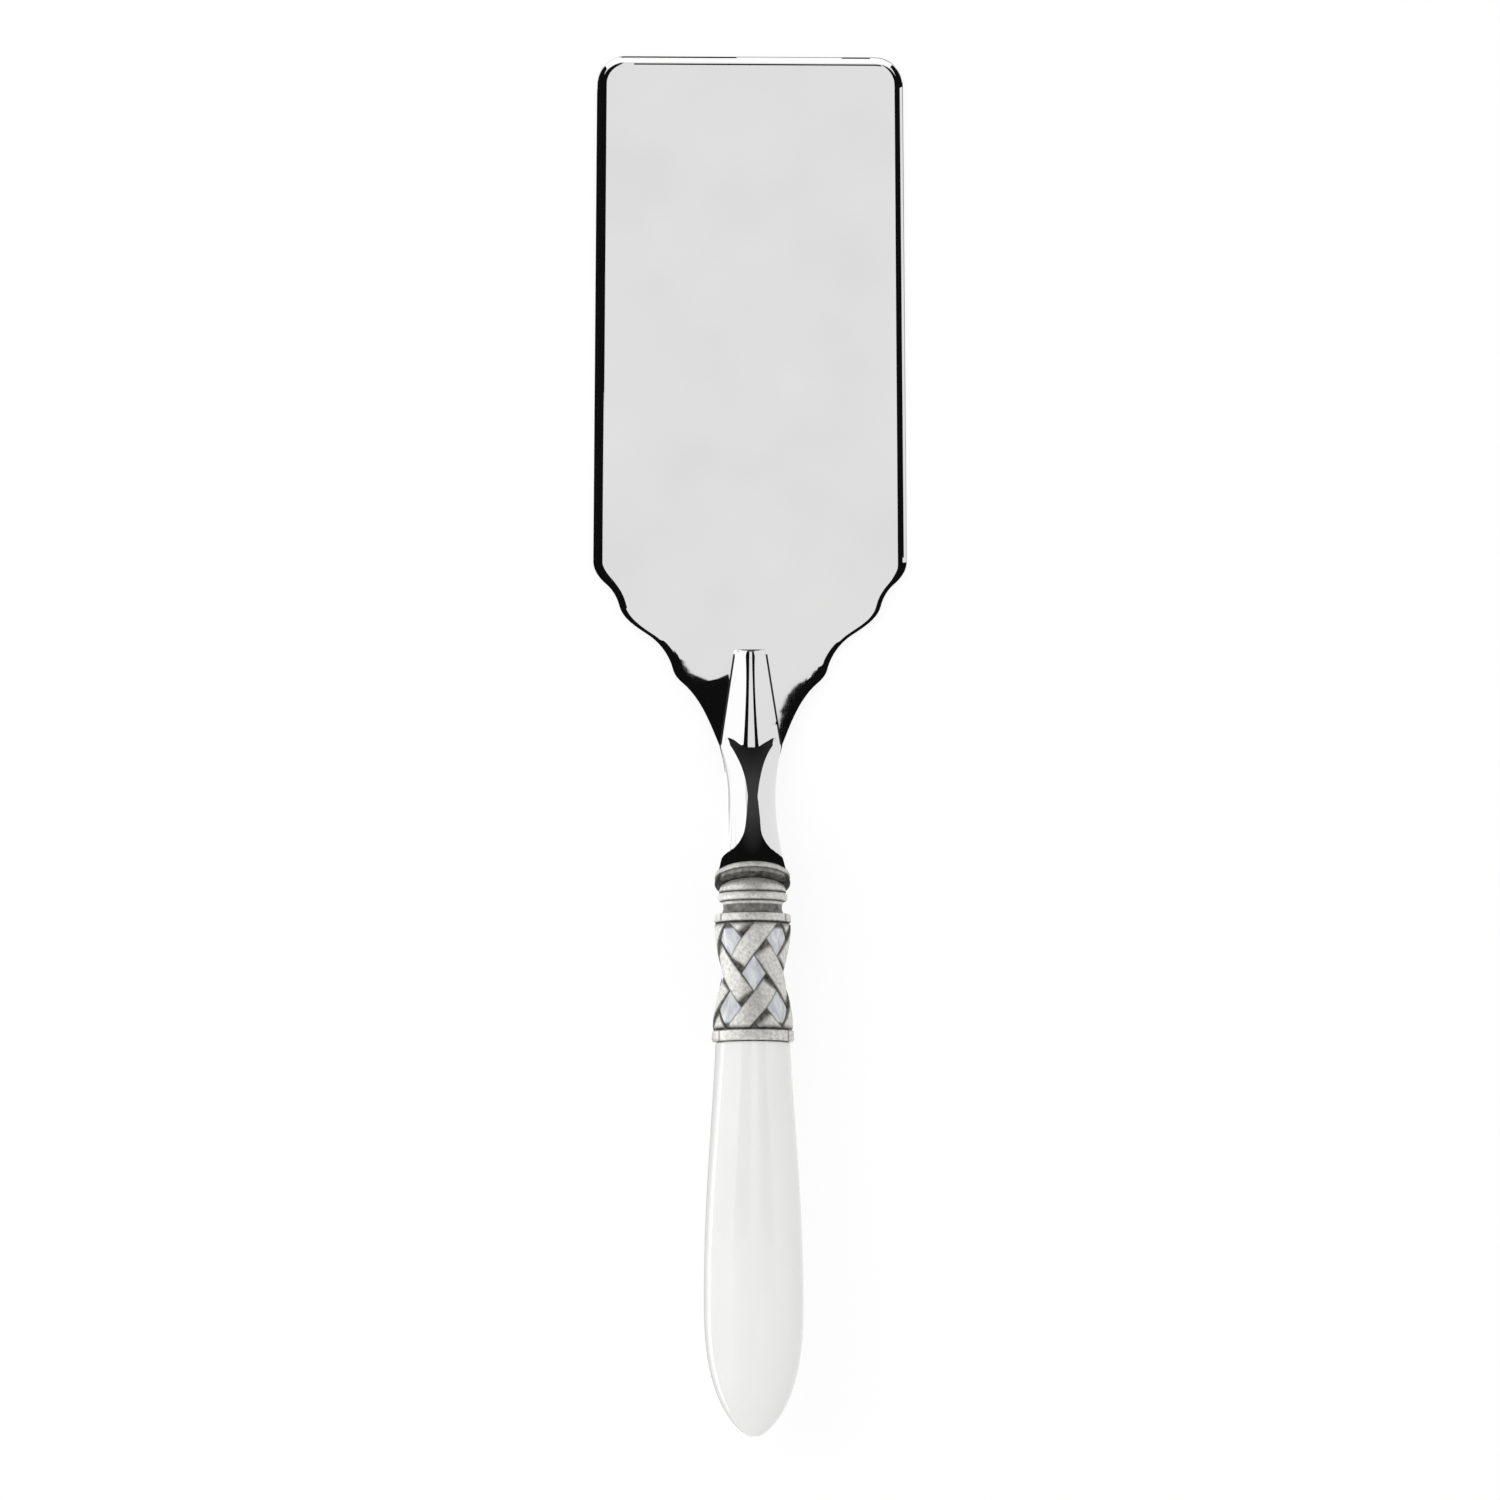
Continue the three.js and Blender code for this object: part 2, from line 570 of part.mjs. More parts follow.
// Pieces on the handle's axis share one tilted group that starts at the flange.
const handleGroup = new THREE.Group();
handleGroup.position.copy(axisStart);
handleGroup.rotation.x = -HANDLE_TILT;
const upperBore = coreRadius(0) + SEAT_GAP;
const lowerBore = coreRadius(SLEEVE_LENGTH) + SEAT_GAP;
const upperCollar = collarGeometry(UPPER_COLLAR_AT, UPPER_COLLAR_WIDTH, upperBore, UPPER_COLLAR_RADIUS);
const lowerCollar = collarGeometry(LOWER_COLLAR_AT, LOWER_COLLAR_WIDTH, lowerBore, LOWER_COLLAR_RADIUS);
handleGroup.add(piece("tang", tangGeometry(), POLISHED_STEEL));
handleGroup.add(piece("tang_adhesive", tangAdhesiveGeometry(), CURED_EPOXY));
handleGroup.add(piece("ferrule_cap", ferruleCapGeometry(), ANTIQUE_SILVER));
handleGroup.add(piece("upper_collar", upperCollar, ANTIQUE_SILVER));
handleGroup.add(piece("weave_sleeve", weaveSleeveGeometry(), ANTIQUE_SILVER));
handleGroup.add(piece("lower_collar", lowerCollar, ANTIQUE_SILVER));
handleGroup.add(piece("handle", handleGeometry(), PEARL_ACRYLIC));

const server = new THREE.Group();
server.add(piece("blade", bladeGeometry(), POLISHED_STEEL));
server.add(piece("neck", neckGeometry(), POLISHED_STEEL));
server.add(handleGroup);

// The part's origin is the middle of its box, on the surface that the blade lies on.
const box = new THREE.Box3().setFromObject(server, true);
server.position.set(-(box.min.x + box.max.x) / 2, -(box.min.y + box.max.y) / 2, -box.min.z);

const lasagnaServer = new THREE.Group();
lasagnaServer.add(server);

export default lasagnaServer;
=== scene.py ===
# Lasagna server: the looks of every piece, around its construction.
# Metres. +Y points from the butt to the blade tip, +Z is up and the blade lies on z = 0.
import math

import bmesh
import bpy
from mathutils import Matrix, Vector


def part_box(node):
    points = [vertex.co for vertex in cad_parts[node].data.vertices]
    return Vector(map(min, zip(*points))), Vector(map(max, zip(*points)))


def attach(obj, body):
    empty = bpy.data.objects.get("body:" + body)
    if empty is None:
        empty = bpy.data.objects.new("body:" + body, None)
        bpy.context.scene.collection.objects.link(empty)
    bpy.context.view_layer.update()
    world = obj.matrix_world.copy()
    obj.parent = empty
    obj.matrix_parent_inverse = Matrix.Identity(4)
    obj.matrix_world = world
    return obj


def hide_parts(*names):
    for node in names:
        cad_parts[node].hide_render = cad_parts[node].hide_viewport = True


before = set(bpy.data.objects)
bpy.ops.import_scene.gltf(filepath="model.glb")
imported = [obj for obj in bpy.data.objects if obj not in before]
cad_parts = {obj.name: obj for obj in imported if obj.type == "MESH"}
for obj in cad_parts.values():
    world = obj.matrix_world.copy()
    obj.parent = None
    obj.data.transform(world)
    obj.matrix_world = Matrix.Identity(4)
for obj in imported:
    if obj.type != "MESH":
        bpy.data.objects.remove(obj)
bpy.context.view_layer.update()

MM = 0.001
QUARTER_TURN = math.pi / 2

# Blade sheet
BLADE_LENGTH = 157 * MM
BLADE_TIP_HALF_WIDTH = 34.8 * MM
BLADE_HALF_WIDTH = 35.6 * MM
SHEET = 1.6 * MM
TIP_CORNER_RADIUS = 6.4 * MM
RIM_WIDTH = 2 * MM
RIM_DROP = 1.1 * MM
UNDER_EDGE = 0.3 * MM
BEND_LENGTH = 19.5 * MM
BEND_ANGLE = math.radians(16)
CROWN_LENGTH = 40 * MM
CROWN_HALF_WIDTH = 20 * MM
CROWN_ANGLE = math.radians(4)
CROWN_CUTS = [across * MM for across in (0, 2.9, 5, 7.5, 10, 13, 16, 19.5)]
SHOULDER_RIM = 0.15
SHOULDER_RIM_START = 6 * MM
SHOULDER_RIM_END = 4 * MM
ROOT_RIM = 0.15

# Scalloped shoulders: places ahead of the blade's rear edge, and headings away from straight back
ROOT_HALF_WIDTH = 7 * MM
SHOULDER_START = 42 * MM
UPPER_STEP_IN = 2.9 * MM
UPPER_STEP_AT = 36.9 * MM
UPPER_NOTCH_IN = 5.9 * MM
UPPER_NOTCH_AT = 32 * MM
MIDDLE_IN = 12.7 * MM
MIDDLE_AT = 25.2 * MM
LOWER_NOTCH_OUT = 10.5 * MM
LOWER_NOTCH_AT = 17.5 * MM
LOWER_STEP_OUT = 8.4 * MM
LOWER_STEP_AT = 14.5 * MM
STEP_HEADING = math.radians(50)
NOTCH_HEADING = math.radians(14)
SHOULDER_HEADING = math.radians(56)
ROOT_HEADING = math.radians(22)

# Forged neck with its tongue on the blade
TONGUE_LENGTH = 22 * MM
TONGUE_TIP_HALF_WIDTH = 2.9 * MM
TONGUE_TIP_HEIGHT = 1.3 * MM
TONGUE_HEIGHT = 3 * MM
TONGUE_TAIL = 8 * MM
TONGUE_TAIL_HALF_WIDTH = 4.2 * MM
TONGUE_SIDE = 0.15 * MM
TONGUE_FOOT = 0.8 * MM
TONGUE_HALF_WIDTH = 6.3 * MM
RIDGE_ROUNDING = 0.6 * MM
TIP_ROUNDING = 0.22 * MM
TIP_CUTS = (0.3 * MM, 0.45 * MM)
# Where the painted shade along the tongue's foot stops short of its tip
FOOT_SHADE_END = 0.6 * MM
TAIL_SLOPE = 0.16
STRIP_TIP_HALF_WIDTH = 0.75 * MM
STRIP_HALF_WIDTH = 1.3 * MM
NECK_LENGTH = 31.6 * MM
NECK_RISE = 10.8 * MM
NECK_LEAD = 4 * MM
LEAD_END_SHRINK = 1.5 * MM
LEAD_MIDDLE_SHRINK = 0.6 * MM
WAIST_AT = 12.3 * MM
WAIST_HALF_WIDTH = 5.45 * MM
WAIST_HALF_HEIGHT = 4.8 * MM
FLANGE_RADIUS = 8.5 * MM
FLANGE_THICKNESS = 2.6 * MM
FLANGE_EDGE = 0.5 * MM
FLANGE_GROOVE = 0.2 * MM
BAND_ROUNDNESS = 0.5
FLARE_RADIUS = 7.8 * MM
FLANGE_TILT = math.radians(22)
FLARE_POWER = 1.8

# Ferrule, measured back along the handle's axis from the middle of the flange's rear face
HANDLE_TILT = math.radians(5)
DOME_RADIUS = 7.5 * MM
DOME_LENGTH = 4.6 * MM
DOME_SHARE = 0.75
BEAD_AT = 1.5 * MM
BEAD_WIDTH = 2.1 * MM
BEAD_RADIUS = 7.85 * MM
SPOOL_WIDTH = 2.6 * MM
SPOOL_RADIUS = 6.95 * MM
SPOOL_GROOVE = 0.4 * MM
UPPER_COLLAR_WIDTH = 2 * MM
UPPER_COLLAR_RADIUS = 8.6 * MM
LOWER_COLLAR_WIDTH = 2.5 * MM
LOWER_COLLAR_RADIUS = 9.2 * MM
COLLAR_EDGE = 0.5 * MM

# Woven sleeve
SLEEVE_LENGTH = 23.6 * MM
SLEEVE_FRONT_RADIUS = 8.6 * MM
SLEEVE_WAIST_RADIUS = 7.5 * MM
SLEEVE_REAR_RADIUS = 9.1 * MM
SLEEVE_WAIST_AT = 11.2 * MM
STRAPS_EACH_WAY = 4
CROSSING_PITCH = 7.75 * MM
FIRST_CROSSING = 3.6 * MM
STRAP_WIDTH = 4.2 * MM
STRAP_THICKNESS = 0.7 * MM
STRAP_EDGE = 0.16 * MM
WEAVE_RISE = 0.25 * MM

# Dark patina and painted shade on the silver, and painted shade on the pearl core: where its lines and edges
# start and end, and how dark they are
LIP_GROOVE_LINE = 0.22 * MM
# Painted shade: dark lines along the lip's rear and front edges, and its dark left and right ends
LIP_REAR_LINE = (0.45 * MM, 0.15 * MM)
LIP_FRONT_LINE = 0.25 * MM
LIP_ENDS = (0.74 * FLANGE_RADIUS, 0.88 * FLANGE_RADIUS)
LIP_ENDS_LEAD = 0.5 * MM
LIP_ENDS_DARKNESS = 1.4
LIP_BAND_DARKNESS = (0.2, 0.75)
LIP_BAND_STEP = 0.2 * MM
CAP_LINE = (0.05 * MM, 0.3 * MM)
SPOOL_DARK = (0.55 * MM, 0.8 * MM)
SPOOL_DARKNESS = 0.85
# Painted shade line along each collar's edge against the straps
COLLAR_LINE = (0.1 * MM, 0.4 * MM)
COLLAR_MARK = (0.05 * MM, 0.2 * MM)
COLLAR_MARK_AT = 0.84
COLLAR_MARK_DARKNESS = 0.8
# Painted shade on the straps: where they dip under others, along their edges and at their ends
STRAP_UNDER = (0.3, 0.55)
STRAP_EDGE_FROM = 0.8
STRAP_EDGE_DARKNESS = 0.75
STRAP_END = 0.9 * MM
# Painted shade on the pearl core beside the straps and at the ends of the weave
WINDOW_LINE = 0.85 * MM
WINDOW_END_LINE = (0.8 * MM, 2.2 * MM)

# Handle
HANDLE_LENGTH = 87.5 * MM
HANDLE_FRONT_RADIUS = 8.4 * MM
HANDLE_FRONT_EDGE = 0.5 * MM
HANDLE_HALF_WIDTH = 11.1 * MM
HANDLE_SWELL_POWER = 1.25
HANDLE_HALF_THICKNESS = 8.19 * MM
BUTT_LENGTH = 30.2 * MM
BUTT_FULLNESS = 2.55
BUTT_ROUNDNESS = 1.6
BUTT_FLAT = 0.28 * MM
CORE_RAISE = 0.75 * MM

# Tang bore and gaps between pieces
TANG_RADIUS = 2.5 * MM
TANG_IN_HANDLE = 55 * MM
ADHESIVE_WALL = 0.8 * MM
BRAZE_GAP = 0.15 * MM
SEAT_GAP = 0.2 * MM
MITRE_GAP = 0.3 * MM
MERGE_DISTANCE = 0.002 * MM

# Picture
CAMERA_HEIGHT = 1.25
CAMERA_X = -44 * MM
CAMERA_Y = -30 * MM
PICTURE_MIDDLE = -2.47 * MM
PICTURE_WIDTH = 340.5 * MM

# Places worked out from the blade in model.glb and the sizes above
ROOT_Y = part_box("blade")[0].y
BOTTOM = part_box("blade")[0].z
CAMERA_PLACE = Vector((CAMERA_X, CAMERA_Y, CAMERA_HEIGHT))


def between(start, end, part):
    return start + (end - start) * part


def share(value, start, end):
    return min(max((value - start) / (end - start), 0), 1)


def smooth_share(value, start, end):
    part = share(value, start, end)
    return part * part * (3 - 2 * part)


# Modelling steps that the pieces share
def clear_selection():
    bpy.ops.object.select_all(action="DESELECT")


def select_only(piece):
    clear_selection()
    piece.select_set(True)
    bpy.context.view_layer.objects.active = piece


def select_whole_mesh():
    bpy.ops.mesh.select_all(action="SELECT")


def edit_mesh():
    bpy.ops.object.mode_set(mode="EDIT")
    select_whole_mesh()


def leave_edit():
    bpy.ops.object.mode_set(mode="OBJECT")


def apply_place():
    bpy.ops.object.transform_apply(location=True, rotation=True, scale=True)


def apply_modifier(piece, name, kind, **settings):
    modifier = piece.modifiers.new(name, kind)
    for setting, value in settings.items():
        setattr(modifier, setting, value)
    bpy.ops.object.modifier_apply(modifier=modifier.name)


def pull(step):
    """Extrudes the selection by a step."""
    bpy.ops.mesh.extrude_region_move(TRANSFORM_OT_translate={"value": step})


def select_by(test, kind="verts"):
    """Selects the vertices, edges or faces of the edited mesh that pass a test."""
    edited = bmesh.from_edit_mesh(bpy.context.object.data)
    bpy.ops.mesh.select_all(action="DESELECT")
    for part in getattr(edited, kind):
        if test(part):
            part.select_set(True)
    edited.select_flush_mode()
    bmesh.update_edit_mesh(bpy.context.object.data)


def cut_all(point, direction, **options):
    """Cuts the whole edited mesh along a plane."""
    select_whole_mesh()
    bpy.ops.mesh.bisect(plane_co=point, plane_no=direction, **options)


def merge_doubles():
    select_whole_mesh()
    bpy.ops.mesh.remove_doubles(threshold=MERGE_DISTANCE)


def close_mesh():
    """Merges doubles, points the faces outwards and leaves edit mode."""
    merge_doubles()
    bpy.ops.mesh.normals_make_consistent(inside=False)
    leave_edit()


def loft(name, rings, sides):
    """Pulls a circle through rings of (y, z, half width, half height, lean of its top towards +Y)."""
    clear_selection()
    y, z, half_width, half_height, lean = rings[0]
    bpy.ops.mesh.primitive_circle_add(vertices=sides, radius=1, rotation=(QUARTER_TURN - lean, 0, 0))
    piece = bpy.context.object
    piece.name = name
    piece.location = (0, y, z)
    piece.scale = (half_width, half_height, 1)
    apply_place()
    edit_mesh()
    for before, after in zip(rings, rings[1:]):
        middle = (0, after[0], after[1])
        taller = after[3] / before[3]
        pull((0, after[0] - before[0], after[1] - before[1]))
        bpy.ops.transform.resize(value=(after[2] / before[2], taller, taller), center_override=middle)
        if after[4] != before[4]:
            turn = after[4] - before[4]
            bpy.ops.transform.rotate(value=turn, orient_axis="X", center_override=middle)
    return piece


def turned(name, profile, sides):
    """Pulls a circle along a profile of (radius, distance back along the axis)."""
    return loft(name, [(-distance, 0, radius, radius, 0) for radius, distance in profile], sides)


def fill_open_ends():
    bpy.ops.mesh.select_all(action="DESELECT")
    bpy.ops.mesh.select_non_manifold()
    bpy.ops.mesh.edge_face_add()


def set_on_axis(piece):
    """Tilts a piece that was made along -Y and moves it to the start of the handle's axis."""
    piece.rotation_euler = (-HANDLE_TILT, 0, 0)
    piece.location = AXIS_START
    select_only(piece)
    apply_place()


def finish_piece(piece, node, material, crease_degrees):
    """Smooths a piece up to its creases, dresses it and makes it stand for its construction node."""
    select_only(piece)
    bpy.ops.object.shade_smooth_by_angle(angle=math.radians(crease_degrees))
    piece.data.materials.clear()
    piece.data.materials.append(material)
    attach(piece, "root")
    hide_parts(node)


# Blade
def blade_lift(ahead):
    """Height of the underside: flat, then an arc that turns up by the bend angle to the rear edge."""
    radius = BEND_LENGTH / math.sin(BEND_ANGLE)
    past = max(BEND_LENGTH - ahead, 0)
    return radius - math.sqrt(radius * radius - past * past)


def crown_rise(x, ahead):
    """How far the sheet rises from both sides to the tongue near its root."""
    near_root = 1 - smooth_share(ahead, 0, CROWN_LENGTH)
    inwards = max(CROWN_HALF_WIDTH - max(abs(x), TONGUE_TIP_HALF_WIDTH), 0)
    return math.tan(CROWN_ANGLE) * inwards * near_root


def bezier(points, part):
    a, b, c, d = points
    rest = 1 - part
    return a * rest ** 3 + b * (3 * rest * rest * part) + c * (3 * rest * part * part) + d * part ** 3


def half_outline(curve_steps=12, corner_steps=14):
    """Right half of the outline, from the middle of the rear edge to the middle of the tip edge."""
    stops = [
        (ROOT_HALF_WIDTH, 0, ROOT_HEADING),
        (ROOT_HALF_WIDTH + LOWER_STEP_OUT, LOWER_STEP_AT, STEP_HEADING),
        (ROOT_HALF_WIDTH + LOWER_NOTCH_OUT, LOWER_NOTCH_AT, NOTCH_HEADING),
        (BLADE_HALF_WIDTH - MIDDLE_IN, MIDDLE_AT, SHOULDER_HEADING),
        (BLADE_HALF_WIDTH - UPPER_NOTCH_IN, UPPER_NOTCH_AT, NOTCH_HEADING),
        (BLADE_HALF_WIDTH - UPPER_STEP_IN, UPPER_STEP_AT, STEP_HEADING),
        (BLADE_HALF_WIDTH, SHOULDER_START, 0),
    ]
    points = [Vector((0, 0)), Vector((ROOT_HALF_WIDTH, 0))]
    for (x0, y0, heading0), (x1, y1, heading1) in zip(stops, stops[1:]):
        start = Vector((x0, y0))
        end = Vector((x1, y1))
        reach = (end - start).length / 3
        leave = Vector((math.sin(heading0), math.cos(heading0))) * reach
        arrive = Vector((math.sin(heading1), math.cos(heading1))) * reach
        for step in range(1, curve_steps + 1):
            points.append(bezier((start, start + leave, end - arrive, end), step / curve_steps))
    corner = Vector((BLADE_TIP_HALF_WIDTH - TIP_CORNER_RADIUS, BLADE_LENGTH - TIP_CORNER_RADIUS))
    for step in range(corner_steps + 1):
        angle = step / corner_steps * QUARTER_TURN
        points.append(corner + TIP_CORNER_RADIUS * Vector((math.cos(angle), math.sin(angle))))
    points.append(Vector((0, BLADE_LENGTH)))
    return points


def make_blade(material, rim_steps=8, crown_cuts=30):
    outline = half_outline()
    clear_selection()
    bpy.ops.mesh.primitive_plane_add(size=SHEET, location=(0, ROOT_Y, BOTTOM + UNDER_EDGE))
    blade = bpy.context.object
    blade.name = "blade_sheet"
    apply_place()
    edit_mesh()
    bpy.ops.mesh.merge(type="CENTER")
    for before, after in zip(outline, outline[1:]):
        pull((after.x - before.x, after.y - before.y, 0))
    leave_edit()
    apply_modifier(blade, "other_half", "MIRROR", use_axis=(True, False, False), use_clip=True)
    edit_mesh()
    bpy.ops.mesh.edge_face_add()
    if bmesh.from_edit_mesh(blade.data).faces[:][0].normal.z < 0:
        bpy.ops.mesh.flip_normals()

    # Upright edge, then a rim that rounds over to the flat top
    pull((0, 0, SHEET - RIM_DROP - UNDER_EDGE))
    inset = 0
    height = 0
    for step in range(1, rim_steps + 1):
        angle = step / rim_steps * QUARTER_TURN
        next_inset = RIM_WIDTH * (1 - math.cos(angle))
        next_height = RIM_DROP * math.sin(angle)
        bpy.ops.mesh.inset(thickness=next_inset - inset, depth=next_height - height)
        inset = next_inset
        height = next_height
    bpy.ops.mesh.inset(thickness=RIM_WIDTH / rim_steps, depth=0)

    # Underside with its own small rounded edge
    fill_open_ends()
    select_whole_mesh()
    bpy.ops.mesh.normals_make_consistent(inside=False)
    select_by(lambda face: face.normal.z < -0.5, "faces")
    bpy.ops.mesh.inset(thickness=UNDER_EDGE, depth=UNDER_EDGE)
    bpy.ops.mesh.inset(thickness=UNDER_EDGE, depth=0)

    # Cuts across and along the root, so that it can bend and crown
    for step in range(crown_cuts + 1):
        cut_all((0, ROOT_Y + CROWN_LENGTH * step / crown_cuts, 0), (0, 1, 0))
    for x in CROWN_CUTS:
        cut_all((x, 0, 0), (1, 0, 0))
        cut_all((-x, 0, 0), (1, 0, 0))
    close_mesh()
    top = BOTTOM + SHEET
    for vertex in blade.data.vertices:
        ahead = vertex.co.y - ROOT_Y
        if vertex.co.z > BOTTOM + UNDER_EDGE + MERGE_DISTANCE:
            low = SHOULDER_START - SHOULDER_RIM_START
            high = SHOULDER_START + SHOULDER_RIM_END
            fullness = between(SHOULDER_RIM, 1, smooth_share(ahead, low, high))
            fullness *= between(ROOT_RIM, 1, share(ahead, LOWER_STEP_AT, BEND_LENGTH))
            vertex.co.z = top - (top - vertex.co.z) * fullness
        vertex.co.z += blade_lift(ahead) + crown_rise(vertex.co.x, ahead)
    finish_piece(blade, "blade", material, crease_degrees=50)


# Neck
ROOT_HEIGHT = SHEET + BRAZE_GAP + TONGUE_HEIGHT
ROOT_MIDDLE = BOTTOM + blade_lift(0) + ROOT_HEIGHT / 2


def neck_middle(distance):
    """Height of the neck's middle line, from the slope of the bend to the slope of the flange's axis."""
    part = distance / NECK_LENGTH
    leave = math.tan(BEND_ANGLE) * NECK_LENGTH
    arrive = math.tan(FLANGE_TILT) * NECK_LENGTH
    rise = NECK_RISE * part * part * (3 - 2 * part)
    return ROOT_MIDDLE + rise + leave * part * (1 - part) ** 2 - arrive * part * part * (1 - part)


AXIS_START = Vector((0, ROOT_Y - NECK_LENGTH, neck_middle(NECK_LENGTH)))


def neck_ring(distance, shrink=0):
    """Oval section of the neck at a distance behind the blade's rear edge."""
    flange_front = NECK_LENGTH - FLANGE_THICKNESS
    to_root = (1 - share(distance, 0, WAIST_AT)) ** 2
    flare = share(distance, WAIST_AT, flange_front) ** FLARE_POWER
    half_width = between(between(WAIST_HALF_WIDTH, ROOT_HALF_WIDTH, to_root), FLARE_RADIUS, flare)
    half_height = between(between(WAIST_HALF_HEIGHT, ROOT_HEIGHT / 2, to_root), FLARE_RADIUS, flare)
    lean = FLANGE_TILT * share(distance, 0, flange_front)
    return (ROOT_Y - distance, neck_middle(distance), half_width - shrink, half_height - shrink, lean)


def make_neck_body(material, steps=100, sides=192):
    flange_front = NECK_LENGTH - FLANGE_THICKNESS
    rings = [neck_ring(-NECK_LEAD, LEAD_END_SHRINK), neck_ring(-NECK_LEAD / 2, LEAD_MIDDLE_SHRINK)]
    for step in range(steps + 1):
        rings.append(neck_ring(between(0, flange_front, step / steps)))
    rings.append(neck_ring(NECK_LENGTH - FLANGE_EDGE))
    neck = loft("neck_body", rings, sides)
    fill_open_ends()
    close_mesh()
    finish_piece(neck, "neck", material, crease_degrees=50)


def make_flange_lip(material, steps=6, sides=128):
    """Silver lip round the flared end of the neck: two rounded bands with a groove between them."""
    front = NECK_LENGTH - FLANGE_THICKNESS
    band = FLANGE_THICKNESS / 2
    profile = [(TANG_RADIUS, NECK_LENGTH), (TANG_RADIUS, front + band)]
    profile.append((FLARE_RADIUS - FLANGE_EDGE, front + FLANGE_EDGE / 2))
    for start in (front, front + band):
        for step in range(steps + 1):
            part = step / steps
            bulge = math.sin(math.pi * part) ** BAND_ROUNDNESS
            profile.append((FLANGE_RADIUS - FLANGE_GROOVE * 2 * (1 - bulge), start + band * part))
    profile.append((TANG_RADIUS, NECK_LENGTH))
    rings = []
    for radius, distance in profile:
        rings.append((ROOT_Y - distance, neck_middle(distance), radius, radius, FLANGE_TILT))
    lip = loft("flange_lip", rings, sides)
    close_mesh()
    middle = NECK_LENGTH - band
    axis = Vector((0, -math.cos(FLANGE_TILT), math.sin(FLANGE_TILT)))
    start = Vector((0, ROOT_Y - middle, neck_middle(middle)))

    # The groove line is patina; the edge lines and the dark ends are painted shade
    def lip_patina_and_shade(place):
        offset = (place - start).dot(axis)
        in_groove = 1 - share(abs(offset), 0, LIP_GROOVE_LINE)
        # Painted shade: dark lines along the rear edge, under the lip's overhang, and along the front edge
        # against the flare
        at_rear = share(offset, band - LIP_REAR_LINE[0], band - LIP_REAR_LINE[1])
        at_front = share(-offset, band - LIP_FRONT_LINE, band)
        # Painted shade: the lip's left and right ends go dark, almost black
        at_ends = LIP_ENDS_DARKNESS * share(abs(place.x), *LIP_ENDS) * share(offset, -LIP_ENDS_LEAD, 0)
        bands = between(*LIP_BAND_DARKNESS, share(offset, 0, LIP_BAND_STEP))
        return max(in_groove, at_rear, at_front, at_ends, bands)

    mark(lip, "patina_and_shade", lip_patina_and_shade)
    finish_piece(lip, "neck", material, crease_degrees=40)


def narrow(taper):
    """Narrows the selection towards the middle line."""
    bpy.ops.transform.resize(value=(taper, 1, 1), center_override=(0, 0, 0))


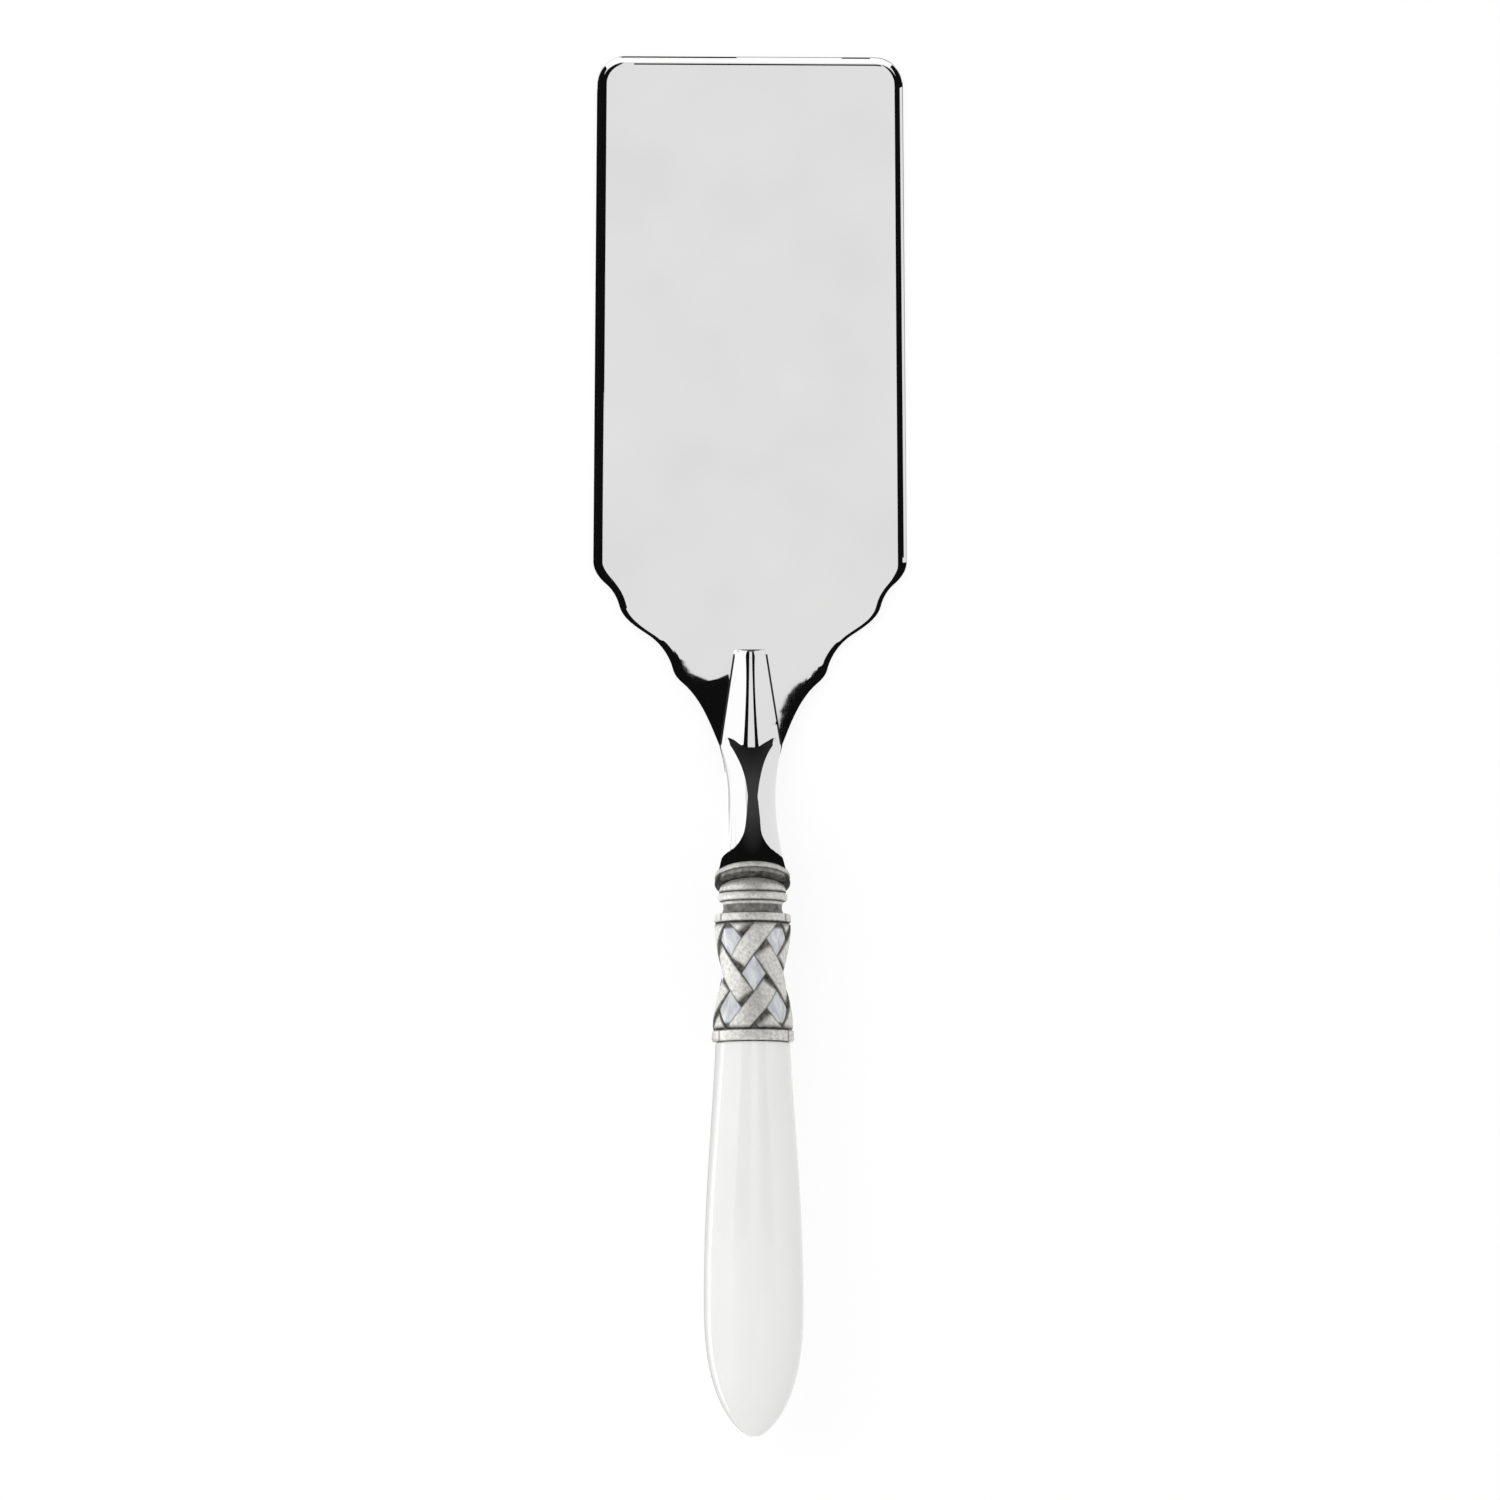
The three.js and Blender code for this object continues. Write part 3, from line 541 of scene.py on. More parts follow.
def make_neck_tongue(material, cuts=18):
    """Ridge with sloping flanks and a flat strip, tapered to its tip and bent on the blade."""
    base = BOTTOM + SHEET + BRAZE_GAP
    length = TONGUE_LENGTH + TONGUE_TAIL
    clear_selection()
    bpy.ops.mesh.primitive_cube_add(size=1, location=(0, ROOT_Y + TONGUE_LENGTH - length / 2, base))
    tongue = bpy.context.object
    tongue.name = "neck_tongue"
    tongue.scale = (2 * TONGUE_HALF_WIDTH, length, 2 * TONGUE_SIDE)
    apply_place()
    edit_mesh()
    select_by(lambda face: face.normal.z > 0.9, "faces")
    pull((0, 0, TONGUE_HEIGHT))
    narrow(STRIP_HALF_WIDTH / TONGUE_HALF_WIDTH)
    cut_all((0, ROOT_Y, 0), (0, 1, 0))

    # Taper towards the tip and towards the tail that runs into the neck
    tip_y = ROOT_Y + TONGUE_LENGTH
    tail_y = ROOT_Y - TONGUE_TAIL
    top = base + TONGUE_HEIGHT
    select_by(lambda vertex: abs(vertex.co.y - tip_y) < MERGE_DISTANCE)
    tip_taper = TONGUE_TIP_HALF_WIDTH / TONGUE_HALF_WIDTH
    narrow(tip_taper)
    select_by(lambda vertex: abs(vertex.co.y - tip_y) < MERGE_DISTANCE and vertex.co.z > top)
    bpy.ops.transform.translate(value=(0, 0, TONGUE_TIP_HEIGHT - TONGUE_HEIGHT))
    narrow(STRIP_TIP_HALF_WIDTH / (STRIP_HALF_WIDTH * tip_taper))
    select_by(lambda vertex: abs(vertex.co.y - tail_y) < MERGE_DISTANCE)
    narrow(TONGUE_TAIL_HALF_WIDTH / TONGUE_HALF_WIDTH)
    for side in (-1, 1):
        select_by(lambda vertex: vertex.co.z < base and vertex.co.x * side > 0)
        bpy.ops.transform.translate(value=(side * TONGUE_FOOT, 0, 0))

    # Rounded long edges and tip
    def is_long_top_edge(edge):
        first, second = edge.verts
        is_long = abs(first.co.y - second.co.y) > STRIP_HALF_WIDTH
        return is_long and min(first.co.z, second.co.z) > base

    def is_tip_edge(edge):
        first, second = edge.verts
        at_tip = min(first.co.y, second.co.y) > tip_y - MERGE_DISTANCE
        return at_tip and min(first.co.z, second.co.z) > base

    select_by(is_long_top_edge, "edges")
    bpy.ops.mesh.bevel(offset=RIDGE_ROUNDING, segments=6, profile=0.5)
    select_by(is_tip_edge, "edges")
    bpy.ops.mesh.bevel(offset=TIP_ROUNDING, segments=4, profile=0.5)
    for step in range(1, cuts):
        cut_all((0, ROOT_Y - TONGUE_TAIL + length * step / cuts, 0), (0, 1, 0))
    for behind_tip in TIP_CUTS:
        cut_all((0, tip_y - behind_tip, 0), (0, 1, 0))
    close_mesh()
    # Marks the tongue's foot for painted shade along the crease where it sits on the blade
    painted_foot_shade = tongue.data.attributes.new("painted_foot_shade", "FLOAT", "POINT")
    for vertex in tongue.data.vertices:
        ahead = max(vertex.co.y - ROOT_Y, 0)
        at_foot = vertex.co.z < base and ahead < TONGUE_LENGTH - FOOT_SHADE_END
        painted_foot_shade.data[vertex.index].value = float(at_foot)
        behind = max(ROOT_Y - vertex.co.y, 0)
        seat = blade_lift(ahead) + crown_rise(0, ahead)
        straight = blade_lift(0) * (1 - ahead / TONGUE_LENGTH) + behind * TAIL_SLOPE
        height = between(TONGUE_HEIGHT, TONGUE_TIP_HEIGHT, ahead / TONGUE_LENGTH)
        part = share(vertex.co.z, base + TONGUE_SIDE, base + TONGUE_SIDE + height)
        vertex.co.z += between(seat, straight, part)
    finish_piece(tongue, "neck", material, crease_degrees=40)


# Ferrule
SPOOL_FRONT = BEAD_AT + BEAD_WIDTH
CAP_REAR = SPOOL_FRONT + SPOOL_WIDTH
UPPER_COLLAR_AT = CAP_REAR + SEAT_GAP
SLEEVE_AT = UPPER_COLLAR_AT + UPPER_COLLAR_WIDTH + SEAT_GAP
LOWER_COLLAR_AT = SLEEVE_AT + SLEEVE_LENGTH + SEAT_GAP
HANDLE_AT = LOWER_COLLAR_AT + LOWER_COLLAR_WIDTH + SEAT_GAP
HANDLE_END = HANDLE_AT + HANDLE_LENGTH
SLEEVE_DEPTH = 2 * WEAVE_RISE + STRAP_THICKNESS
BORE = TANG_RADIUS + SEAT_GAP


def sleeve_radius(distance):
    """Outer radius of the weave at a distance behind its front: a waist between two wider ends."""
    near = smooth_share(distance, 0, SLEEVE_WAIST_AT)
    far = smooth_share(distance, SLEEVE_WAIST_AT, SLEEVE_LENGTH)
    front = between(SLEEVE_FRONT_RADIUS, SLEEVE_WAIST_RADIUS, near)
    return front + (SLEEVE_REAR_RADIUS - SLEEVE_WAIST_RADIUS) * far


def core_radius(distance):
    return sleeve_radius(distance) - SLEEVE_DEPTH - SEAT_GAP


def mark(piece, name, value_at):
    """Stores a value for the material at every vertex, from its place."""
    marks = piece.data.attributes.new(name, "FLOAT", "POINT")
    for vertex in piece.data.vertices:
        marks.data[vertex.index].value = value_at(vertex.co)


def make_ferrule_cap(material, steps=10, sides=128):
    """Dome, bead and grooved spool turned in one, cut obliquely where the cap meets the tilted flange."""
    profile = [(BORE, CAP_REAR), (SPOOL_RADIUS - SPOOL_GROOVE / 2, CAP_REAR)]
    for step in range(steps + 1):
        part = step / steps
        hollow = SPOOL_GROOVE * math.sin(math.pi * part)
        profile.append((SPOOL_RADIUS - hollow, between(CAP_REAR, SPOOL_FRONT, part)))
    for step in range(1, steps + 1):
        angle = between(-QUARTER_TURN, QUARTER_TURN, step / steps)
        bulge = (BEAD_RADIUS - SPOOL_RADIUS) * math.cos(angle)
        profile.append((SPOOL_RADIUS + bulge, BEAD_AT + BEAD_WIDTH * (0.5 - math.sin(angle) / 2)))
    for step in range(steps + 1):
        angle = DOME_SHARE * QUARTER_TURN * step / steps
        profile.append((DOME_RADIUS * math.cos(angle), BEAD_AT - DOME_LENGTH * math.sin(angle)))
    profile.append((BORE, profile[-1][1]))
    profile.append((BORE, CAP_REAR))
    cap = turned("ferrule_cap_turning", profile, sides)
    merge_doubles()
    slope = FLANGE_TILT - HANDLE_TILT
    cut_all((0, -MITRE_GAP, 0), (0, math.cos(slope), -math.sin(slope)), clear_outer=True)
    fill_open_ends()
    close_mesh()

    def cap_patina(place):
        distance = -place.y
        lines = 1 - share(min(abs(distance - BEAD_AT), abs(distance - SPOOL_FRONT)), *CAP_LINE)
        spool = SPOOL_DARKNESS * share(distance - SPOOL_FRONT, *SPOOL_DARK)
        return max(lines, spool)

    mark(cap, "patina_and_shade", cap_patina)
    set_on_axis(cap)
    finish_piece(cap, "ferrule_cap", material, crease_degrees=40)


def make_collar(name, node, material, front, width, inner, outer, strap_edge, steps=6, sides=256):
    """Plain band with rounded outer edges."""
    profile = [(inner, front + width)]
    for middle, first_angle in ((front + width - COLLAR_EDGE, -QUARTER_TURN), (front + COLLAR_EDGE, 0)):
        for step in range(steps + 1):
            angle = first_angle + QUARTER_TURN * step / steps
            radius = outer - COLLAR_EDGE * (1 - math.cos(angle))
            profile.append((radius, middle - COLLAR_EDGE * math.sin(angle)))
    profile.append((inner, front))
    profile.append((inner, front + width))
    collar = turned(name, profile, sides)
    close_mesh()

    def collar_shade_and_marks(place):
        # Painted shade: a dark line along the edge that meets the straps
        at_straps = 1 - share(abs(-place.y - strap_edge), *COLLAR_LINE)
        at_mark = 1 - share(abs(abs(place.x) - COLLAR_MARK_AT * outer), *COLLAR_MARK)
        return max(at_straps, COLLAR_MARK_DARKNESS * at_mark)

    mark(collar, "patina_and_shade", collar_shade_and_marks)
    set_on_axis(collar)
    finish_piece(collar, node, material, crease_degrees=40)


def make_strap(turn_way, start_angle, along_steps=96, across_steps=10):
    """One strap of the weave: a flat grid wound round the waisted core, over and under the others."""
    clear_selection()
    bpy.ops.mesh.primitive_grid_add(x_subdivisions=across_steps, y_subdivisions=along_steps, size=2)
    strap = bpy.context.object
    turn_rate = turn_way * math.pi / STRAPS_EACH_WAY / CROSSING_PITCH
    patina_and_shade = strap.data.attributes.new("patina_and_shade", "FLOAT", "POINT")
    for vertex in strap.data.vertices:
        across = vertex.co.x
        along = between(0, SLEEVE_LENGTH, (vertex.co.y + 1) / 2)
        radius = sleeve_radius(along) - SLEEVE_DEPTH / 2
        lean = math.atan(radius * turn_rate)
        sideways = across * STRAP_WIDTH / 2 / math.cos(lean)
        middle = along + sideways * math.sin(lean) * math.cos(lean)
        phase = math.pi * (middle - FIRST_CROSSING) / CROSSING_PITCH
        over = -turn_way * math.cos(phase)
        angle = start_angle + turn_rate * (along - FIRST_CROSSING) + sideways / radius
        out = radius + WEAVE_RISE * over
        vertex.co = (out * math.sin(angle), -SLEEVE_AT - along, out * math.cos(angle))
        # Painted shade: darker where the strap dips under another, along its edges and at its ends against
        # the collars
        under = share(-over, *STRAP_UNDER)
        at_edge = STRAP_EDGE_DARKNESS * share(abs(across), STRAP_EDGE_FROM, 1)
        at_end = 1 - share(min(along, SLEEVE_LENGTH - along), 0, STRAP_END)
        patina_and_shade.data[vertex.index].value = max(under, at_edge, at_end)
    edit_mesh()
    bpy.ops.mesh.normals_make_consistent(inside=False)
    leave_edit()
    middle_face = strap.data.polygons[len(strap.data.polygons) // 2]
    outwards = Vector((middle_face.center.x, 0, middle_face.center.z))
    if middle_face.normal.dot(outwards) < 0:
        strap.data.flip_normals()
    apply_modifier(strap, "wall", "SOLIDIFY", thickness=STRAP_THICKNESS, offset=0)
    square = math.radians(60)
    apply_modifier(
        strap, "edge", "BEVEL", width=STRAP_EDGE, segments=3, limit_method="ANGLE", angle_limit=square
    )
    return strap


def make_weave(material):
    straps = []
    for i in range(STRAPS_EACH_WAY):
        start_angle = i * 2 * math.pi / STRAPS_EACH_WAY
        for turn_way in (-1, 1):
            straps.append(make_strap(turn_way, start_angle))
    clear_selection()
    for strap in straps:
        strap.select_set(True)
    weave = straps[0]
    bpy.context.view_layer.objects.active = weave
    bpy.ops.object.join()
    weave.name = "woven_straps"
    set_on_axis(weave)
    finish_piece(weave, "weave_sleeve", material, crease_degrees=45)


# Handle
def make_handle_core(material, steps=110, sides=180):
    """Pearl core that shows through the weave, with the bore of the tang."""
    bore = TANG_RADIUS + ADHESIVE_WALL
    profile = [(bore, HANDLE_AT), (bore, UPPER_COLLAR_AT), (core_radius(0), UPPER_COLLAR_AT)]
    for step in range(steps + 1):
        distance = step / steps * SLEEVE_LENGTH
        profile.append((core_radius(distance) + CORE_RAISE, SLEEVE_AT + distance))
    profile.append((core_radius(SLEEVE_LENGTH), SLEEVE_AT + SLEEVE_LENGTH))
    profile.append((core_radius(SLEEVE_LENGTH), HANDLE_AT))
    profile.append((bore, HANDLE_AT))
    core = turned("handle_core", profile, sides)
    close_mesh()
    # Painted shade in the windows beside the straps
    mark(core, "painted_strap_shade", painted_strap_shade)
    set_on_axis(core)
    finish_piece(core, "handle", material, crease_degrees=40)


def painted_strap_shade(place):
    """Painted shade on the core: how close a point is to the edge of the nearest strap or to an end of the
    weave, 1 at the edge and 0 well away.
    """
    along = -place.y - SLEEVE_AT
    radius = sleeve_radius(along)
    angle = math.atan2(place.x, place.z)
    pitch_angle = 2 * math.pi / STRAPS_EACH_WAY
    nearest = 1
    for turn_way in (-1, 1):
        turn_rate = turn_way * math.pi / STRAPS_EACH_WAY / CROSSING_PITCH
        lean = math.atan(radius * turn_rate)
        offset = angle - turn_rate * (along - FIRST_CROSSING)
        offset -= pitch_angle * round(offset / pitch_angle)
        clear = abs(offset) * radius * math.cos(lean) - STRAP_WIDTH / 2
        nearest = min(nearest, clear)
    ends = min(along, SLEEVE_LENGTH - along)
    return 1 - min(share(nearest, 0, WINDOW_LINE), share(ends, *WINDOW_END_LINE))


def grip_ring(distance, half_width, half_thickness):
    return (-distance, 0, half_width, half_thickness, 0)


def make_handle_grip(material, edge_steps=6, steps=48, butt_steps=40, sides=128):
    """Swelling oval grip with a pointed butt, bored for the tang."""
    bore = TANG_RADIUS + ADHESIVE_WALL
    bore_end = UPPER_COLLAR_AT + TANG_IN_HANDLE + SEAT_GAP
    start = HANDLE_AT + HANDLE_FRONT_EDGE
    end = HANDLE_END - BUTT_LENGTH
    rings = [grip_ring(bore_end, bore, bore), grip_ring(HANDLE_AT, bore, bore)]
    for step in range(edge_steps + 1):
        angle = step / edge_steps * QUARTER_TURN
        radius = HANDLE_FRONT_RADIUS - HANDLE_FRONT_EDGE * (1 - math.sin(angle))
        rings.append(grip_ring(start - HANDLE_FRONT_EDGE * math.cos(angle), radius, radius))
    for step in range(1, steps + 1):
        swell = math.sin(step / steps * QUARTER_TURN) ** HANDLE_SWELL_POWER
        half_width = between(HANDLE_FRONT_RADIUS, HANDLE_HALF_WIDTH, swell)
        half_thickness = between(HANDLE_FRONT_RADIUS, HANDLE_HALF_THICKNESS, swell)
        rings.append(grip_ring(between(start, end, step / steps), half_width, half_thickness))
    blunt_end = 1 - BUTT_FLAT / BUTT_LENGTH
    for step in range(1, butt_steps):
        along = blunt_end * math.sin(step / butt_steps * QUARTER_TURN)
        taper = (1 - along ** BUTT_FULLNESS) ** (1 / BUTT_ROUNDNESS)
        distance = end + along * BUTT_LENGTH
        rings.append(grip_ring(distance, HANDLE_HALF_WIDTH * taper, HANDLE_HALF_THICKNESS * taper))
    grip = loft("handle_grip", rings, sides)
    pull((0, BUTT_FLAT - HANDLE_END - rings[-1][0], 0))
    bpy.ops.mesh.merge(type="CENTER")
    fill_open_ends()
    close_mesh()
    set_on_axis(grip)
    finish_piece(grip, "handle", material, crease_degrees=40)


# Materials
def start_material(name):
    material = bpy.data.materials.new(name)
    material.use_nodes = True
    return material, material.node_tree.nodes["Principled BSDF"]


def feed(socket, value):
    """Joins another node's output to an input socket, or sets the socket's own value."""
    if isinstance(value, bpy.types.NodeSocket):
        socket.id_data.links.new(value, socket)
    else:
        socket.default_value = value


def set_up(node, **settings):
    """Sets a node's properties and, where a name begins with a capital, feeds its input sockets."""
    for name, value in settings.items():
        if name[0].isupper():
            feed(node.inputs[name.replace("_", " ")], value)
        else:
            setattr(node, name, value)


def add_node(owner, kind, **settings):
    """Adds a node to a material or a world."""
    node = owner.node_tree.nodes.new(kind)
    set_up(node, **settings)
    return node


def object_coordinates(material, stretch=(1, 1, 1)):
    """Object coordinates in millimetres, stretched along the axes."""
    place = add_node(material, "ShaderNodeTexCoord").outputs["Object"]
    scale = [axis / MM for axis in stretch]
    return add_node(material, "ShaderNodeMapping", Vector=place, Scale=scale).outputs["Vector"]


def noise(material, place, scale, detail=3, roughness=0.55, distortion=0):
    texture = add_node(material, "ShaderNodeTexNoise", Vector=place, Scale=scale, Detail=detail)
    set_up(texture, Roughness=roughness, Distortion=distortion)
    return texture.outputs["Fac"]


def ramp(material, value, stops):
    """Colour ramp through (place, grey or colour) stops."""
    node = add_node(material, "ShaderNodeValToRGB", Fac=value)
    elements = node.color_ramp.elements
    while len(elements) < len(stops):
        elements.new(0.5)
    for element, (place, colour) in zip(elements, stops):
        element.position = place
        element.color = (*colour, 1) if isinstance(colour, tuple) else (colour, colour, colour, 1)
    return node.outputs["Color"]


def to_range(owner, value, low, high):
    return add_node(owner, "ShaderNodeMapRange", Value=value, To_Min=low, To_Max=high).outputs["Result"]


def mix_colours(material, factor, first, second):
    node = add_node(material, "ShaderNodeMix", data_type="RGBA")
    for value, number in ((factor, 0), (first, 6), (second, 7)):
        feed(node.inputs[number], value)
    return node.outputs[2]


def calculate(owner, operation, first, second):
    node = add_node(owner, "ShaderNodeMath", operation=operation, use_clamp=True)
    feed(node.inputs[0], first)
    feed(node.inputs[1], second)
    return node.outputs[0]


def bump(material, shader, height, strength, distance):
    node = add_node(material, "ShaderNodeBump", Height=height, Strength=strength, Distance=distance)
    set_up(shader, Normal=node.outputs["Normal"])


def attribute(material, name):
    return add_node(material, "ShaderNodeAttribute", attribute_name=name).outputs["Fac"]


def polished_steel():
    """Mirror polish with faint buffing haze along the tool and painted shade, a near-black line, along the
    crease at the tongue's foot.
    """
    material, shader = start_material("polished_steel")
    along = object_coordinates(material, (1, 0.08, 1))
    clouds = noise(material, object_coordinates(material), scale=0.035, detail=2)
    haze = noise(material, along, scale=1.6, detail=4)
    colour = ramp(material, clouds, [(0.3, (0.71, 0.712, 0.71)), (0.7, (0.755, 0.755, 0.752))])
    # Painted shade: near-black along the crease at the tongue's foot
    painted_foot_shade = ramp(material, attribute(material, "painted_foot_shade"), [(0.4, 0.0), (0.6, 1.0)])
    colour = mix_colours(material, painted_foot_shade, colour, (0.02, 0.02, 0.02, 1))
    set_up(shader, Metallic=1, Base_Color=colour, Roughness=to_range(material, haze, 0.012, 0.03))
    scratches = noise(material, along, scale=5, detail=2)
    bump(material, shader, scratches, strength=0.008, distance=0.02 * MM)
    return material


def antique_silver():
    """Cast silver, bright where it is rubbed, dark with patina in the recesses and with painted shade along
    edges, under-crossings and the lip's ends; where it is dark it reflects less too.
    """
    material, shader = start_material("antique_silver")
    place = object_coordinates(material)
    grain = noise(material, place, scale=1.3, detail=6, roughness=0.65)
    rubbed = [(0.3, (0.42, 0.41, 0.385)), (0.48, (0.62, 0.61, 0.58)), (0.7, (0.79, 0.78, 0.75))]
    ragged = to_range(material, noise(material, place, scale=0.9, detail=5, roughness=0.7), -0.3, 0.3)
    patina_and_shade = attribute(material, "patina_and_shade")
    # The marks hold both patina and painted shade
    darkening = calculate(material, "ADD", patina_and_shade, ragged)
    # Painted shade: marks above 1, at the lip's left and right ends, go almost black
    darkest_painted_shade = calculate(material, "MULTIPLY", calculate(material, "SUBTRACT", patina_and_shade, 1), 2.5)
    tarnish_and_shade = [(0.35, (0.03, 0.028, 0.024)), (0.65, (0.13, 0.125, 0.11))]
    dark = ramp(material, noise(material, place, scale=0.8, detail=4), tarnish_and_shade)
    dark = mix_colours(material, darkest_painted_shade, dark, (0.01, 0.01, 0.009, 1))
    set_up(
        shader,
        Base_Color=mix_colours(material, darkening, ramp(material, grain, rubbed), dark),
        # Dark places, patina and painted shade alike, lose most of their reflection
        Metallic=to_range(material, darkening, 0.6, 0.1),
        Specular_IOR_Level=to_range(material, darkening, 0.5, 0.05),
        Roughness=to_range(material, grain, 0.36, 0.5),
    )
    pits = noise(material, place, scale=2.2, detail=5, roughness=0.6)
    bump(material, shader, pits, strength=0.25, distance=0.08 * MM)
    return material


def pearl_acrylic():
    """Glossy white acrylic with a faint pearl drift along the handle."""
    material, shader = start_material("pearl_acrylic")
    along = object_coordinates(material, (1, 0.25, 1))
    drift = noise(material, along, scale=0.12, detail=4, roughness=0.6, distortion=1.2)
    whites = [(0.3, (0.845, 0.85, 0.84)), (0.5, (0.86, 0.86, 0.85)), (0.7, (0.875, 0.873, 0.86))]
    set_up(shader, Base_Color=ramp(material, drift, whites), Roughness=to_range(material, drift, 0.1, 0.2))
    set_up(shader, IOR=1.49, Coat_Weight=0.4, Coat_Roughness=0.04)
    set_up(shader, Subsurface_Weight=0.25, Subsurface_Radius=(1, 0.95, 0.9), Subsurface_Scale=1.5 * MM)
    waves = noise(material, object_coordinates(material), scale=0.3, detail=2)
    bump(material, shader, waves, strength=0.04, distance=0.1 * MM)
    return material


def pearl_window():
    """Pearl of the core, streaked along the handle: darker and bluer than the grip, partly its own tone and
    partly painted shade inside the recessed windows, with painted shade lines beside the straps.
    """
    material, shader = start_material("pearl_window")
    along = object_coordinates(material, (1, 0.3, 1))
    streaks = noise(material, along, scale=0.35, detail=5, roughness=0.6, distortion=1.5)
    # Greys darker than the grip: partly the pearl's bluish tone, partly painted shade inside the windows
    blues = [(0.28, (0.36, 0.375, 0.41)), (0.45, (0.55, 0.565, 0.6))]
    blues += [(0.6, (0.68, 0.7, 0.72)), (0.75, (0.8, 0.81, 0.81))]
    # Painted shade: near-black beside the straps and at the ends of the weave
    window_shade = ramp(material, attribute(material, "painted_strap_shade"), [(0.45, 0.0), (0.85, 1.0)])
    colour = mix_colours(material, window_shade, ramp(material, streaks, blues), (0.03, 0.03, 0.028, 1))
    set_up(shader, Base_Color=colour, Roughness=to_range(material, streaks, 0.12, 0.28))
    set_up(shader, IOR=1.53, Coat_Weight=0.5, Coat_Roughness=0.06)
    bump(material, shader, streaks, strength=0.05, distance=0.1 * MM)
    return material


def tang_steel():
    """Plain turned rod with fine rings across its length."""
    material, shader = start_material("tang_steel")
    rings = noise(material, object_coordinates(material, (0.05, 1, 0.05)), scale=6, detail=3)
    colour = ramp(material, rings, [(0.3, (0.36, 0.36, 0.36)), (0.7, (0.5, 0.5, 0.49))])
    set_up(shader, Metallic=1, Base_Color=colour, Roughness=to_range(material, rings, 0.3, 0.5))
    bump(material, shader, rings, strength=0.3, distance=0.05 * MM)
    return material


def cured_epoxy():
    """Amber adhesive with small bubbles."""
    material, shader = start_material("cured_epoxy")
    place = object_coordinates(material)
    clouds = noise(material, place, scale=0.5, detail=4)
    colour = ramp(material, clouds, [(0.3, (0.6, 0.5, 0.3)), (0.7, (0.75, 0.66, 0.44))])
    set_up(shader, Base_Color=colour, Roughness=to_range(material, clouds, 0.3, 0.5))
    bubbles = noise(material, place, scale=3, detail=2)
    bump(material, shader, bubbles, strength=0.3, distance=0.1 * MM)
    return material


# Stage: floor, studio light, black flags and bright cards that only reflections see
# Heights of the floor, of the cards that lie on it, of those just above the blade and of the root's flags
FLOOR_LEVEL = BOTTOM - 0.05 * MM
LOW = BOTTOM - 0.04 * MM
GROUND = BOTTOM - 0.02 * MM
NEAR = 10 * MM
ROOT_FLAG_LEVEL = 500 * MM
# Places of the upright cards ahead of the tip and beside the flare
FRONT_FLAG_AT = 900 * MM
FLARE_CARD_AT = 10 * MM


def seen_level(owner, seen, other):
    """One level for camera, glossy and transmission rays, and another for all other rays."""
    path = add_node(owner, "ShaderNodeLightPath")
    value = path.outputs["Is Camera Ray"]
    for name in ("Is Glossy Ray", "Is Transmission Ray"):
        value = calculate(owner, "MAXIMUM", value, path.outputs[name])
    return to_range(owner, value, other, seen)


def make_world(seen=1, other=0.78):
    world = bpy.data.worlds.new("white_studio")
    bpy.context.scene.world = world
    world.use_nodes = True
    background = world.node_tree.nodes["Background"]
    set_up(background, Color=(1, 1, 1, 1), Strength=seen_level(world, seen, other))


def glowing_material(name, level=0, paint=0):
    """Matt grey paint that glows white."""
    material, shader = start_material(name)
    set_up(shader, Base_Color=(paint, paint, paint, 1), Roughness=1, Specular_IOR_Level=0)
    set_up(shader, Emission_Color=(1, 1, 1, 1), Emission_Strength=level)
    return material, shader


def make_floor(size=6, glow=0.86, bounce=0.75, paint=0.15):
    """Pale floor: part of its white glows, the rest is paint that takes the shadow."""
    clear_selection()
    bpy.ops.mesh.primitive_plane_add(size=size, location=(0, 0, FLOOR_LEVEL))
    floor = bpy.context.object
    floor.name = "floor"
    material, shader = glowing_material("pale_floor", paint=paint)
    set_up(shader, Emission_Strength=seen_level(material, glow, bounce))
    floor.data.materials.append(material)


def card_material(name, level):
    material, shader = glowing_material(name, level)
    return material


def graded_material(name, low, high):
    """Card that grows brighter upwards, between two pairs of level and height."""
    material, shader = glowing_material(name)
    place = add_node(material, "ShaderNodeTexCoord").outputs["Object"]
    up = add_node(material, "ShaderNodeSeparateXYZ", Vector=place).outputs["Z"]
    level = add_node(material, "ShaderNodeMapRange", Value=up, To_Min=low[0], To_Max=high[0])
    set_up(level, From_Min=low[1], From_Max=high[1])
    set_up(shader, Emission_Strength=level.outputs["Result"])
    return material


def hide_from_all_but_reflections(card):
    card.visible_camera = False
    card.visible_diffuse = False
    card.visible_shadow = False
    card.visible_transmission = False


def make_card_mesh(name, corners, faces, material):
    mesh = bpy.data.meshes.new(name)
    mesh.from_pydata(corners, [], faces)
    mesh.materials.append(material)
    card = bpy.data.objects.new(name, mesh)
    bpy.context.collection.objects.link(card)
    hide_from_all_but_reflections(card)


def make_shaped_card(name, corners, material):
    make_card_mesh(name, corners, [list(range(len(corners)))], material)


def make_card(name, low, high, material):
    """Oblong card between two corners in metres, which are level with each other along one axis."""
    first, second = [axis for axis in range(3) if low[axis] != high[axis]]
    corners = [list(low), list(low), list(high), list(low)]
    corners[1][first] = high[first]
    corners[3][second] = high[second]
    make_shaped_card(name, corners, material)


def make_ribbon_card(name, first_row, second_row, material):
    """Card between two rows of points."""
    count = len(first_row)
    faces = [(i, i + 1, count + i + 1, count + i) for i in range(count - 1)]
    make_card_mesh(name, first_row + second_row, faces, material)


